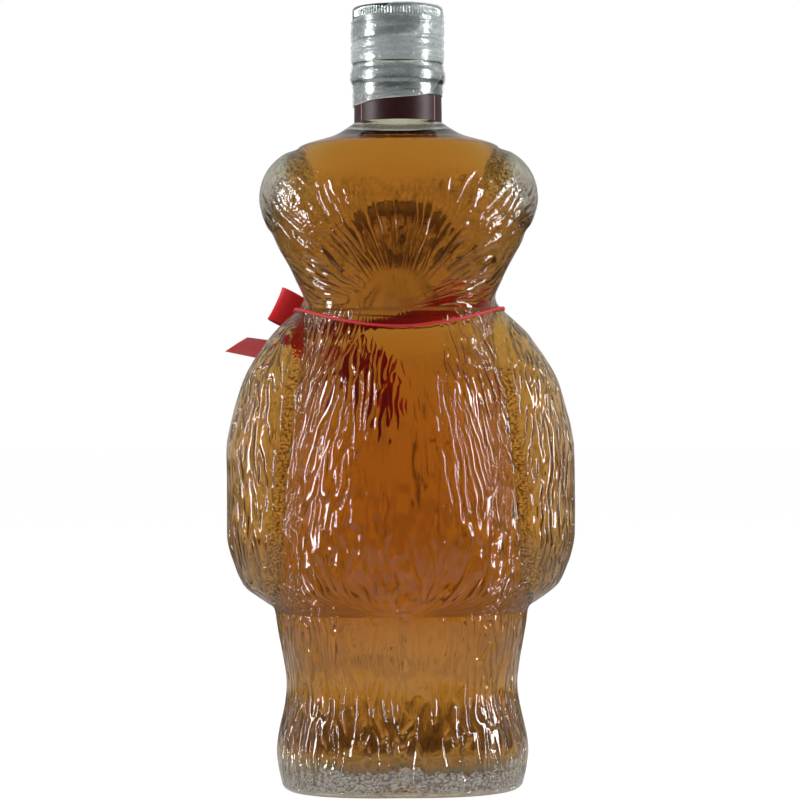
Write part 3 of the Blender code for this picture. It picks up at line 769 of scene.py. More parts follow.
@dataclass(frozen=True)
class BraidedElastic(Finish):
    """Thin covered elastic: red yarn braided over a rubber core."""

    colour: Colour = (0.44, 0.006, 0.014, 1.0)
    # the painted highlight's colour on the yarns' crowns
    lit: Colour = (0.56, 0.022, 0.032, 1.0)
    yarn: float = 0.32 * MILLIMETRE
    fuzz_depth: float = 0.03 * MILLIMETRE

    def dress(self, paint: Paint) -> None:
        """Yarns are painted a lighter red where they stand out of the braid, a painted highlight on their
        crowns.

        Args:
            paint: the material's nodes.
        """
        fuzz = paint.noise(paint.uv(), self.yarn, detail=3.0)
        paint.set(
            # painted highlight: the raised crowns of the braid get the lighter colour
            Base_Color=paint.blend(paint.attribute("crown"), self.colour, self.lit),
            Roughness=0.6,
            Normal=paint.bump(fuzz, self.fuzz_depth),
        )


@dataclass(frozen=True)
class SatinRibbon(Finish):
    """Red satin ribbon: long floats across the width give a soft sheen along the length."""

    colour: Colour = (0.60, 0.006, 0.010, 1.0)
    deep: Colour = (0.46, 0.004, 0.008, 1.0)
    thread: float = 0.09 * MILLIMETRE
    slub: float = 1.8 * MILLIMETRE
    thread_depth: float = 0.02 * MILLIMETRE

    def dress(self, paint: Paint) -> None:
        """Threads are a fine noise stretched along the ribbon; slubs are slow changes of shade.

        Args:
            paint: the material's nodes.
        """
        threads = paint.noise(paint.uv((0.04, 1.0, 1.0)), self.thread)
        slubs = paint.noise(paint.uv((0.4, 1.0, 1.0)), self.slub, detail=3.0)
        paint.set(
            Base_Color=paint.blend(slubs, self.colour, self.deep),
            Roughness=0.36,
            Anisotropic=0.6,
            Sheen_Weight=0.15,
            Sheen_Roughness=0.4,
            Normal=paint.bump(threads, self.thread_depth),
        )


@dataclass(frozen=True)
class Lobe:
    """An ellipsoid that joins the trunk: its centre and half sizes."""

    centre: Triple
    half_size: Triple

    def reach(self, turn: Array, height: Array, side: int = 1, fade: float = 0.0) -> Array:
        """How far from the axis its far side lies in each direction, or 0 where a ray misses it.

        Args:
            turn: angle round the axis.
            height: height above the floor.
            side: 1 or -1 for the mirrored lobe.
            fade: where half a ray's chord is shorter than this, the radius falls smoothly to 0.

        Returns:
            The radius of the lobe's far side.
        """
        x, y, z = self.centre
        half_x, half_y, half_z = self.half_size
        shrink = np.sqrt(np.clip(1 - ((height - z) / half_z) ** 2, 0.0001, 1))
        radius = far_side(turn, side * x, y, half_x * shrink, half_y * shrink, fade)
        return np.where(np.abs(height - z) < half_z, radius, 0)


def far_side(turn: Array, x: Array, y: float, half_x: Array, half_y: Array, fade: float = 0.0) -> Array:
    """Where a ray from the axis leaves an ellipse: the larger root of the ray put into its equation.

    Args:
        turn: angle round the axis.
        x: the ellipse's centre along x.
        y: its centre along y.
        half_x: its half size along x.
        half_y: its half size along y.
        fade: where half the ray's chord is shorter than this, the radius falls smoothly to 0.

    Returns:
        The radius, or 0 where the ray misses the ellipse.
    """
    east, north = np.cos(turn), np.sin(turn)
    a = (east / half_x) ** 2 + (north / half_y) ** 2
    b = east * x / half_x**2 + north * y / half_y**2
    c = (x / half_x) ** 2 + (y / half_y) ** 2 - 1
    inside = b * b - a * c
    hit = (inside > 0) & (b > 0)
    half_chord = np.sqrt(np.where(hit, inside, 0)) / a
    share = smooth_step(0.0, fade, half_chord) if fade else 1.0
    return np.where(hit, b / a + half_chord, 0) * share


def smooth_union(radii: list[Array], sharpness: float) -> Array:
    """The outermost of several radii under a power mean, which rounds the creases between them."""
    shares = np.stack(radii) / radii[0]
    return radii[0] * (shares**sharpness).sum(axis=0) ** (1 / sharpness)


def back_and_front(turn: Array) -> tuple[Array, Array]:
    """How far each angle faces the back and the front, from 0 at the sides to 1."""
    return np.clip(np.sin(turn), 0, 1) ** 2, np.clip(-np.sin(turn), 0, 1) ** 2


@dataclass(frozen=True)
class BearForm:
    """The bear's outside and cavity, as radii from the axis.

    The outside is the construction's, but the muzzle has a softer edge. In the cavity the muzzle is
    solid glass, as the ears are, and the wall thickens towards the base at the back and the front.
    """

    neck_foot: float = field(default_factory=lambda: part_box("neck_label")[0].z)
    neck_radius: float = 0.0133
    heel: float = 0.011
    ankle: float = 0.031
    hip: float = 0.056
    belly: float = 0.090
    chest: float = 0.122
    shoulder: float = 0.138
    waist: float = 0.1495
    jaw: float = 0.1565
    wall: float = 0.0030
    low_wall: float = 0.0075
    low_wall_full: float = 0.040
    low_wall_end: float = 0.060
    base_thickness: float = 0.0068
    floor_round: float = 0.0060
    heel_round: float = 0.0020
    bore_radius: float = 0.0095
    nape_dip: float = 0.0075
    nape_dip_spread: float = 0.018
    chin_dip: float = 0.0165
    chin_dip_spread: float = 0.026
    leg_groove: float = 0.0022
    leg_groove_width: float = 0.0055
    arm_reach: float = 0.0538
    arm_forward: float = 0.0030
    arm_low: float = 0.053
    crease_sharpness: float = 26.0
    ear_sharpness: float = 8.0
    ear_fade: float = 0.006
    muzzle_fade: float = 0.0125
    muzzle_sharpness: float = 6.0
    side_crowding: float = 0.17
    ear: Lobe = Lobe((0.0252, 0.0030, 0.1829), (0.0155, 0.0150, 0.0129))
    muzzle: Lobe = Lobe((0.0, -0.0225, 0.1705), (0.0130, 0.0135, 0.0105))
    foot: Lobe = Lobe((0.0165, -0.0215, 0.0060), (0.0150, 0.0165, 0.0150))

    def trunk_stations(self) -> Array:
        """The trunk's superellipses, lowest first.

        Returns:
            Rows of height, half width, half depth and squareness.
        """
        return np.array([
            (0.0, 0.0368, 0.0347, 2.7),
            (self.heel, 0.0387, 0.0357, 2.6),
            (self.ankle, 0.0355, 0.0327, 2.5),
            (self.hip, 0.0388, 0.0354, 2.5),
            (self.belly, 0.0368, 0.0380, 2.5),
            (self.chest, 0.0335, 0.0350, 2.4),
            (self.shoulder, 0.0312, 0.0300, 2.3),
            (self.waist, 0.0295, 0.0270, 2.3),
            (self.jaw, 0.0322, 0.0278, 2.3),
            (0.173, 0.0393, 0.0292, 2.4),
            (0.187, 0.0358, 0.0276, 2.3),
            (0.1965, 0.0308, 0.0240, 2.2),
            (0.2003, 0.0197, 0.0176, 2.1),
            (self.neck_foot, self.neck_radius, self.neck_radius, 2.0),
        ])

    def arm_stations(self) -> Array:
        """The arms' ellipses, lowest first.

        Returns:
            Rows of height, reach, half width and half depth.
        """
        full = (self.arm_reach, 0.0190, 0.0220)
        return np.array([
            (self.arm_low, 0.0350, 0.0060, 0.0070),
            (0.0565, 0.0420, 0.0110, 0.0125),
            (0.0625, 0.0493, 0.0155, 0.0178),
            (0.078, *full),
            (0.101, *full),
            (self.chest, 0.0496, 0.0176, 0.0208),
            (self.shoulder, 0.0404, 0.0146, 0.0182),
            (self.waist, 0.0282, 0.0100, 0.0140),
        ])

    def turns(self, columns: int) -> Array:
        """Angles round the body, closer together at its sides, where the arms and ears are."""
        turn = angles(columns)
        return turn - self.side_crowding * np.sin(2 * turn)

    def trunk(self, turn: Array, height: Array, ears: bool = True) -> Array:
        """The trunk: a superellipse at each height, lower at nape and chin, with a groove between the legs.

        Args:
            turn: angle round the axis.
            height: height above the floor.
            ears: whether the ears are joined to it, under a power mean.

        Returns:
            The radius.
        """
        back, front = back_and_front(turn)
        nape = self.nape_dip * back * np.exp(-(((height - self.waist) / self.nape_dip_spread) ** 2))
        chin = self.chin_dip * front * np.exp(-(((height - self.waist) / self.chin_dip_spread) ** 2))
        half_x, half_y, square = through(self.trunk_stations(), height + nape + chin)
        east = np.abs(np.cos(turn) / half_x) ** square
        north = np.abs(np.sin(turn) / half_y) ** square
        trunk = (east + north) ** (-1 / square)
        groove = self.leg_groove * np.exp(-((trunk * np.cos(turn) / self.leg_groove_width) ** 2))
        legs = np.clip((self.hip - height) / (self.hip - self.ankle), 0, 1)
        trunk = trunk - groove * (legs * np.clip(height / self.heel, 0, 1))
        if not ears:
            return trunk
        lobes = [self.ear.reach(turn, height, side, self.ear_fade) for side in (1, -1)]
        return smooth_union([trunk, *lobes], self.ear_sharpness)

    def arm(self, turn: Array, height: Array, side: int) -> Array:
        """The far side of one arm, whose section at each height is an ellipse.

        Args:
            turn: angle round the axis.
            height: height above the floor.
            side: 1 or -1.

        Returns:
            The radius, or 0 where a ray misses the arm.
        """
        reach, half_x, half_y = through(self.arm_stations(), height)
        found = far_side(turn, side * (reach - half_x), -self.arm_forward, half_x, half_y)
        return np.where((height > self.arm_low) & (height < self.waist), found, 0)

    def outside(self, turn: Array, height: Array, face: bool = True) -> Array:
        """The bear's outside: the trunk and its lobes under one power mean, which rounds their creases.

        Args:
            turn: angle round the axis.
            height: height above the floor.
            face: whether the ears and the muzzle are on it.

        Returns:
            The radius.
        """
        turn, height = np.broadcast_arrays(turn, height)
        head = self.trunk(turn, height, face)
        if face:
            muzzle = self.muzzle.reach(turn, height, fade=self.muzzle_fade)
            head = smooth_union([head, muzzle], self.muzzle_sharpness)
        lobes = [head]
        for side in (1, -1):
            lobes.append(self.arm(turn, height, side))
            lobes.append(self.foot.reach(turn, height, side))
        return smooth_union(lobes, self.crease_sharpness)

    def arm_lead(self, turn: Array, height: Array) -> Array:
        """An arm's radius over the trunk's.

        Args:
            turn: angle round the axis.
            height: height above the floor.

        Returns:
            Under 1 on the trunk, 1 on the crease and over 1 on an arm.
        """
        turn, height = np.broadcast_arrays(turn, height)
        arm = np.maximum(self.arm(turn, height, 1), self.arm(turn, height, -1))
        return arm / self.trunk(turn, height)

    def cavity(self, turn: Array, height: Array) -> Array:
        """The inside of the wall: the outside less the wall square to it, and never under the bore.

        Args:
            turn: angle round the axis.
            height: height above the floor.

        Returns:
            The radius.
        """
        step = 0.0005
        rise = self.outside(turn, height + step, False) - self.outside(turn, height - step, False)
        inside = self.outside(turn, height, False) - self.wall * np.sqrt(1 + (rise / (2 * step)) ** 2)
        low = smooth_step(self.low_wall_end, self.low_wall_full, height)
        inside = inside - self.low_wall * low * np.sin(turn) ** 2
        above_floor = np.clip((height - self.base_thickness) / self.floor_round, 0, 1)
        inside = inside - self.floor_round * (1 - np.sqrt(1 - (1 - above_floor) ** 2))
        return np.maximum(inside, self.bore_radius)

    def even_heights(self, low: float, high: float, count: int) -> Array:
        """Heights that divide the outline into even steps, side and back counted together.

        Args:
            low: the first height.
            high: the last height.
            count: how many there are.

        Returns:
            The heights, lowest first.
        """
        fine = np.linspace(low, high, 900)
        outline = [self.outside(np.array(turn), fine) for turn in (0.0, math.pi / 2, 0.5)]
        lengths = np.sqrt(np.diff(fine) ** 2 + sum(np.diff(line) ** 2 for line in outline) / 2)
        along = np.concatenate([[0], np.cumsum(lengths)])
        return np.interp(np.linspace(0, along[-1], count), along, fine)


@dataclass(frozen=True)
class Patch:
    """A place where the fur is smoother: its centre and half sizes, across and up, and by what share."""

    across: float
    height: float
    half_width: float
    half_height: float
    share: float

    def cover(self, x: Array, z: Array) -> Array:
        """The share, times exp of minus u^4 less v^4, where u and v count half sizes from the centre."""
        u, v = (x - self.across) / self.half_width, (z - self.height) / self.half_height
        return self.share * np.exp(-(u**4) - v**4)


@dataclass(frozen=True)
class Fur:
    """The combed strands of the glass: their directions, strength and relief."""

    form: BearForm
    seed: int = 7
    strand_length: float = 5.5
    tuft_width: float = 2.2 * MILLIMETRE
    tuft_depth: float = 0.22 * MILLIMETRE
    crease_depth: float = 0.6 * MILLIMETRE
    waver_width: float = 6.0 * MILLIMETRE
    waver: float = 0.7 * MILLIMETRE
    fan_top: float = 0.205
    fan_reach: float = 0.100
    belly_turn: float = 0.081
    belly_end: float = 0.0545
    nape_low: float = 0.1456
    muzzle_mid: float = 0.1705
    head_size: float = 0.033
    crown: Patch = Patch(0.0, 0.184, 0.015, 0.0135, 0.9)
    spine: Patch = Patch(-0.0035, 0.107, 0.0095, 0.040, 0.88)
    rump: Patch = Patch(0.0, 0.041, 0.022, 0.011, 0.7)
    fold: Patch = Patch(0.0, 0.064, 0.020, 0.011, 0.55)
    chest: Patch = Patch(0.0, 0.134, 0.020, 0.014, 0.85)
    ear: Patch = Patch(0.042, 0.190, 0.008, 0.0095, 0.95)
    back_from: float = 0.012
    head_overlap: float = 0.004
    nape_half: float = 0.013
    nape_share: float = 0.5
    pole_radii: Fade = (0.024, 0.010)
    pole_share: float = 0.9
    snout_radii: Fade = (0.021, 0.013)
    snout_front: Fade = (-0.010, -0.020)
    snout_share: float = 0.5
    furry: Span = (0.0, 0.006, 0.182, 0.189)
    seam_half: float = 0.0012
    seam_reach: float = 0.036
    strip: Span = (0.985, 1.0, 1.08, 1.13)
    strip_share: float = 0.92
    crease_spread: float = 0.014
    pebbled: Span = (0.158, 0.168, 0.196, 0.1995)
    pebbled_across: Span = (0.017, 0.028, 0.036, 0.042)
    pebbled_heel: Fade = (0.013, 0.008)
    plain_pebbles: float = 0.10
    # Where painted shade lies as dark speckles in the glass's colour: the heel, a line above the base, the
    # ears' join, the head and the arms' creases.
    shade_heel: Fade = (0.0072, 0.0060)
    shade_line: float = 0.0074
    shade_line_half: float = 0.0008
    ear_line_height: float = 0.193
    ear_line_across: float = 0.0315
    ear_line_half: float = 0.0035
    shade_ear: Span = (0.172, 0.180, 0.195, 0.199)
    shade_head: Span = (0.152, 0.160, 0.182, 0.192)
    shade_strip_top: float = 0.128

    def coordinates(self, points: Array, arm_lead: Array) -> Array:
        """Coordinates in which the strands are straight and run along the third axis.

        On the head they are meridians from the nape to the muzzle. On the trunk they fan out from a
        point above the neck, and below the belly they draw in along quarter ellipses. On the arms and
        legs they stand upright. The third axis is divided by the strands' length over their width.

        Args:
            points: points of shape (..., 3).
            arm_lead: an arm's radius over the trunk's at each point.

        Returns:
            An array of the points' shape.
        """
        x, y, z = np.moveaxis(points, -1, 0)
        pole = self.nape_low + (self.muzzle_mid - self.nape_low) * smooth_step(0.02, -0.03, y)
        round_pole = np.arctan2(x, z - pole)
        from_pole = np.arctan2(np.hypot(x, z - pole), y)
        head = np.stack([
            self.head_size * np.cos(round_pole),
            self.head_size * np.sin(round_pole),
            from_pole * self.head_size / self.strand_length,
        ], axis=-1)
        fan = self.fan_reach / (self.fan_top - np.minimum(z, self.form.jaw))
        drop = np.clip((self.belly_turn - z) / (self.belly_turn - self.belly_end), 0, 0.97)
        draw_in = 1 / np.sqrt(1 - drop**3)
        narrow = np.where((arm_lead < 1) & (z > self.belly_end), fan * draw_in, 1.0)
        upright = np.stack([x * narrow, y, z / self.strand_length], axis=-1)
        return np.where((z > self.form.waist - self.head_overlap)[..., None], head, upright)

    def strength(self, points: Array, arm_lead: Array) -> Array:
        """How strongly the strands stand out: 1 on the flanks, little in the smooth patches.

        Args:
            points: points of shape (..., 3).
            arm_lead: an arm's radius over the trunk's at each point.

        Returns:
            An array of 0 to 1.
        """
        x, y, z = np.moveaxis(points, -1, 0)
        back = smooth_step(0.0, self.back_from, y)
        front = smooth_step(0.0, -self.back_from, y)
        neck = self.form.waist - self.head_overlap
        nape = np.exp(-((x / self.nape_half) ** 4)) * smooth_step(neck, self.form.waist, z)
        patches = [patch.cover(x, z) for patch in (self.crown, self.spine, self.rump, self.fold)]
        patches.append(self.nape_share * nape)
        from_nape = np.hypot(x, z - self.nape_low)
        from_muzzle = np.hypot(x, z - self.muzzle_mid)
        pole = back * smooth_step(*self.pole_radii, from_nape)
        snout = smooth_step(*self.snout_front, y) * smooth_step(*self.snout_radii, from_muzzle)
        smooth = (1 - back * np.maximum.reduce(patches)) * (1 - self.ear.cover(np.abs(x), z))
        smooth = smooth * (1 - self.pole_share * pole) * (1 - self.snout_share * snout)
        smooth = smooth * (1 - front * self.chest.cover(x, z))
        seam = smooth_step(0.0, self.seam_half, np.abs(z - self.belly_end))
        bare = 1 - self.strip_share * within(self.strip, arm_lead)
        return smooth * bare * within(self.furry, z) * np.where(np.abs(x) < self.seam_reach, seam, 1.0)

    def crease(self, arm_lead: Array) -> Array:
        """The depth of the groove along the crease between arm and trunk: a bell over the lead."""
        return self.crease_depth * np.exp(-(((arm_lead - 1) / self.crease_spread) ** 2))

    def pebbles(self, points: Array, arm_lead: Array) -> Array:
        """How strongly the mould's fine pebbles show: on the head's sides, beside the arms, at the heel.

        Args:
            points: points of shape (..., 3).
            arm_lead: an arm's radius over the trunk's at each point.

        Returns:
            An array of 0 to 1.
        """
        x, _, z = np.moveaxis(points, -1, 0)
        head = within(self.pebbled, z) * within(self.pebbled_across, np.abs(x))
        heel = smooth_step(*self.pebbled_heel, z)
        shown = np.maximum.reduce([0.8 * head, heel, within(self.strip, arm_lead)])
        return self.plain_pebbles + (1 - self.plain_pebbles) * shown

    def shade_specks(self, points: Array, arm_lead: Array) -> Array:
        """How densely painted shade lies as dark speckles: round the heel, along a line above the base,
        beside the arms' creases, where the ears begin and lightly on the back of the head.

        Args:
            points: points of shape (..., 3).
            arm_lead: an arm's radius over the trunk's at each point.

        Returns:
            An array of 0 to 1.
        """
        x, y, z = np.moveaxis(points, -1, 0)
        heel = smooth_step(*self.shade_heel, z)
        line = np.exp(-(((z - self.shade_line) / self.shade_line_half) ** 2))
        ear_line = self.ear_line_across + 0.5 * (self.ear_line_height - z)
        ear = np.exp(-(((np.abs(x) - ear_line) / self.ear_line_half) ** 4)) * within(self.shade_ear, z)
        head = smooth_step(0.0, self.back_from, y) * within(self.shade_head, z)
        strip = within(self.strip, arm_lead) * (z < self.shade_strip_top)
        return np.maximum.reduce([0.9 * heel, line, 0.9 * ear, 0.85 * strip, 0.3 * head])

    def relief(self, strands: Array) -> Array:
        """The tufts' height: noise in strand coordinates, so that its cells lie along the strands."""
        noise = GradientNoise(self.seed)
        return self.tuft_depth * noise(strands / self.tuft_width)

    def wavering(self, points: Array, strands: Array) -> Array:
        """Strand coordinates pushed sideways by slow noise, so that the strands waver."""
        sway = [GradientNoise(self.seed + k)(points / self.waver_width) for k in (1, 2)]
        return strands + self.waver * np.stack([*sway, 0 * sway[0]], axis=-1)


@dataclass
class GlassBottle:
    """The pressed bottle: its furry outside, smooth cavity, neck finish and base."""

    form: BearForm
    fur: Fur
    columns: int = 432
    neck_columns: int = 144
    cavity_columns: int = 72
    body_rows: int = 176
    cavity_rows: int = 64
    punt: float = 0.0016
    bearing: float = 0.78
    ring_up: float = 0.0012
    ring_reach: float = 0.00065
    ring_half: float = 0.0019
    thread_root: float = 0.0124
    thread_crest: float = 0.01335
    thread_low: float = 0.2275
    thread_laps: float = 1.6
    thread_fade: float = 0.12
    thread_half: float = 0.00085
    lip_round: float = 0.0006
    lip: float = field(default_factory=lambda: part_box("cap_liner")[0].z - LINER_GAP)
    level: float = field(default_factory=lambda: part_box("whisky_fill")[1].z)
    finish: PressedGlass = PressedGlass("pressed_glass")
    wetted: WettedGlass = WettedGlass("wetted_glass")

    def build(self) -> Piece:
        """Lay the base, the outside up to the lip and the cavity down to its floor as one closed skin.

        Returns:
            The bottle.
        """
        turn = self.form.turns(self.columns)
        inner = self.form.turns(self.cavity_columns)
        skin = Skin()
        self.lay_base(skin, turn)
        heights = self.form.even_heights(self.form.heel_round, self.form.neck_foot, self.body_rows)[:, None]
        radius = self.form.outside(turn, heights)
        points = on_circle(radius, heights, turn)
        lead = self.form.arm_lead(turn, heights)
        strands = self.fur.wavering(points, self.fur.coordinates(points, lead))
        strength = self.fur.strength(points, lead)
        relief = self.fur.relief(strands) * strength - self.fur.crease(lead)
        start = skin.count
        skin.lay(on_circle(radius + relief, heights, turn))
        self.lay_finish(skin, self.form.turns(self.neck_columns))
        self.lay_cavity(skin, inner)
        bottle = skin.piece("bottle_glass", self.finish, self.wetted)
        shares = {
            "fur": strength,
            "pebble": self.fur.pebbles(points, lead),
            # painted shade: where dark speckles darken the glass's colour
            "shade_speck": self.fur.shade_specks(points, lead),
        }
        self.give_fur(bottle, start, strands, shares)
        return settle(bottle, Body.BOTTLE, "glass_bottle")

    def lay_base(self, skin: Skin, turn: Array) -> None:
        """The base: a shallow punt inside a bearing ring, and the rounded heel.

        Args:
            skin: the empty skin.
            turn: angles round the body.
        """
        foot = self.form.outside(turn, self.form.heel_round)
        skin.pole(self.punt)
        shares = np.linspace(0.15, 0.45, 3)[:, None]
        skin.lay(on_circle(foot * shares, self.punt, turn))
        slope = np.linspace(0.5, self.bearing, 6)[:, None]
        sink = self.punt * (1 - smooth_step(0.45, self.bearing, slope))
        skin.lay(on_circle(foot * slope, sink, turn))
        lean = np.radians(np.array([0.0, 22.5, 45.0, 67.5]))[:, None]
        shrink = self.form.heel_round * (1 - np.sin(lean))
        skin.lay(on_circle(foot - shrink, self.form.heel_round * (1 - np.cos(lean)), turn))

    def lay_finish(self, skin: Skin, turn: Array) -> None:
        """The neck: a locking ring, the thread as a bar wound on its root, and the rounded lip.

        Args:
            skin: the skin, laid up to the neck's foot.
            turn: angles round the neck.
        """
        low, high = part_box("tamper_band")
        ring_mid = 0.5 * (low.z + high.z) + self.ring_up
        corner = self.lip_round
        heights = np.linspace(self.form.neck_foot + corner, self.lip - corner, 64)[:, None]
        past_ring = smooth_step(ring_mid + 0.0015, ring_mid + 0.0028, heights)
        plain = self.form.neck_radius + (self.thread_root - self.form.neck_radius) * past_ring
        ring = self.ring_reach * np.exp(-(((heights - ring_mid) / self.ring_half) ** 4))
        depth, end = self.thread_crest - self.thread_root, self.thread_laps
        bar = np.zeros((len(heights), len(turn)))
        for lap in (0, 1):
            done = turn / FULL_TURN + lap
            fade = within((0.0, self.thread_fade, end - self.thread_fade, end), done)
            off = np.abs(heights - self.thread_low - THREAD_PITCH * done) / self.thread_half
            bar = np.maximum(bar, depth * fade * smooth_step(1.0, 0.45, off))
        skin.lay(on_circle(plain + ring + bar, heights, turn))
        lean = np.radians(np.array([30.0, 60.0, 90.0]))[:, None]
        rim = self.thread_root - corner + corner * np.cos(lean)
        skin.lay(on_circle(rim, self.lip - corner + corner * np.sin(lean), turn))

    def lay_cavity(self, skin: Skin, inner: Array) -> None:
        """The bore and the cavity, from the lip down to the floor; whisky wets it below its level.

        Args:
            skin: the skin, laid up to the lip.
            inner: angles round the cavity.
        """
        bore, corner = self.form.bore_radius, self.lip_round
        mouth = np.array([[bore + corner], [bore]])
        skin.lay(on_circle(mouth, np.array([[self.lip], [self.lip - corner]]), inner))
        dry = np.linspace(self.form.neck_foot + 0.004, self.level, 12)[:, None]
        skin.lay(on_circle(self.form.cavity(inner, dry), dry, inner))
        wet = self.form.even_heights(self.form.base_thickness, self.level, self.cavity_rows)[-2::-1, None]
        skin.wear = 1
        skin.lay(on_circle(self.form.cavity(inner, wet), wet, inner))
        skin.pole(self.form.base_thickness)

    def give_fur(self, bottle: Piece, start: int, strands: Array, shares: dict[str, Array]) -> None:
        """Store strand coordinates and each named share on the outside; the rest of the glass is smooth.

        Args:
            bottle: the bottle.
            start: the number of the outside's first point.
            strands: the outside's strand coordinates.
            shares: arrays of the outside's numbers, by their attribute's name.
        """
        count = len(bottle.data.vertices)
        vectors = np.zeros((count, 3))
        vectors[start : start + strands[..., 0].size] = strands.reshape(-1, 3)
        give_attribute(bottle, "strand", vectors)
        for name, share in shares.items():
            values = np.zeros(count)
            values[start : start + share.size] = share.ravel()
            give_attribute(bottle, name, values)


@dataclass
class WhiskyFill:
    """The whisky: the cavity below its level, reaching a hair into the glass so that it wets the wall."""

    form: BearForm
    level: float = field(default_factory=lambda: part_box("whisky_fill")[1].z)
    wetting: float = 0.00006
    edge_rise: float = 0.0006
    edge_width: float = 0.0009
    columns: int = 144
    rows: int = 128
    inside: Spirit = Spirit("spirit_at_glass", index=1.0)
    surface: Spirit = Spirit("spirit_at_air")

    def build(self) -> Piece:
        """Lay rings up the wall; at its edge the glass draws the surface up, by an exponential.

        Returns:
            The whisky.
        """
        turn = self.form.turns(self.columns)
        floor = self.form.base_thickness
        skin = Skin()
        skin.pole(floor - self.wetting)
        heights = self.form.even_heights(floor, self.level, self.rows)[:, None]
        sink = np.where(heights <= floor, self.wetting, 0.0)
        radius = self.form.cavity(turn, heights) + self.wetting
        skin.lay(on_circle(radius, heights - sink, turn))
        edge = self.form.cavity(turn, self.level)
        inward = np.array([0.0004, 0.0010, 0.0020, 0.0040])[:, None]
        drop = self.edge_rise * (1 - np.exp(-inward / self.edge_width))
        skin.wear = 1
        skin.lay(on_circle(edge - inward, self.level - drop, turn))
        skin.pole(self.level - self.edge_rise)
        spirit = skin.piece("whisky", self.inside, self.surface)
        return settle(spirit, Body.BOTTLE, "whisky_fill")


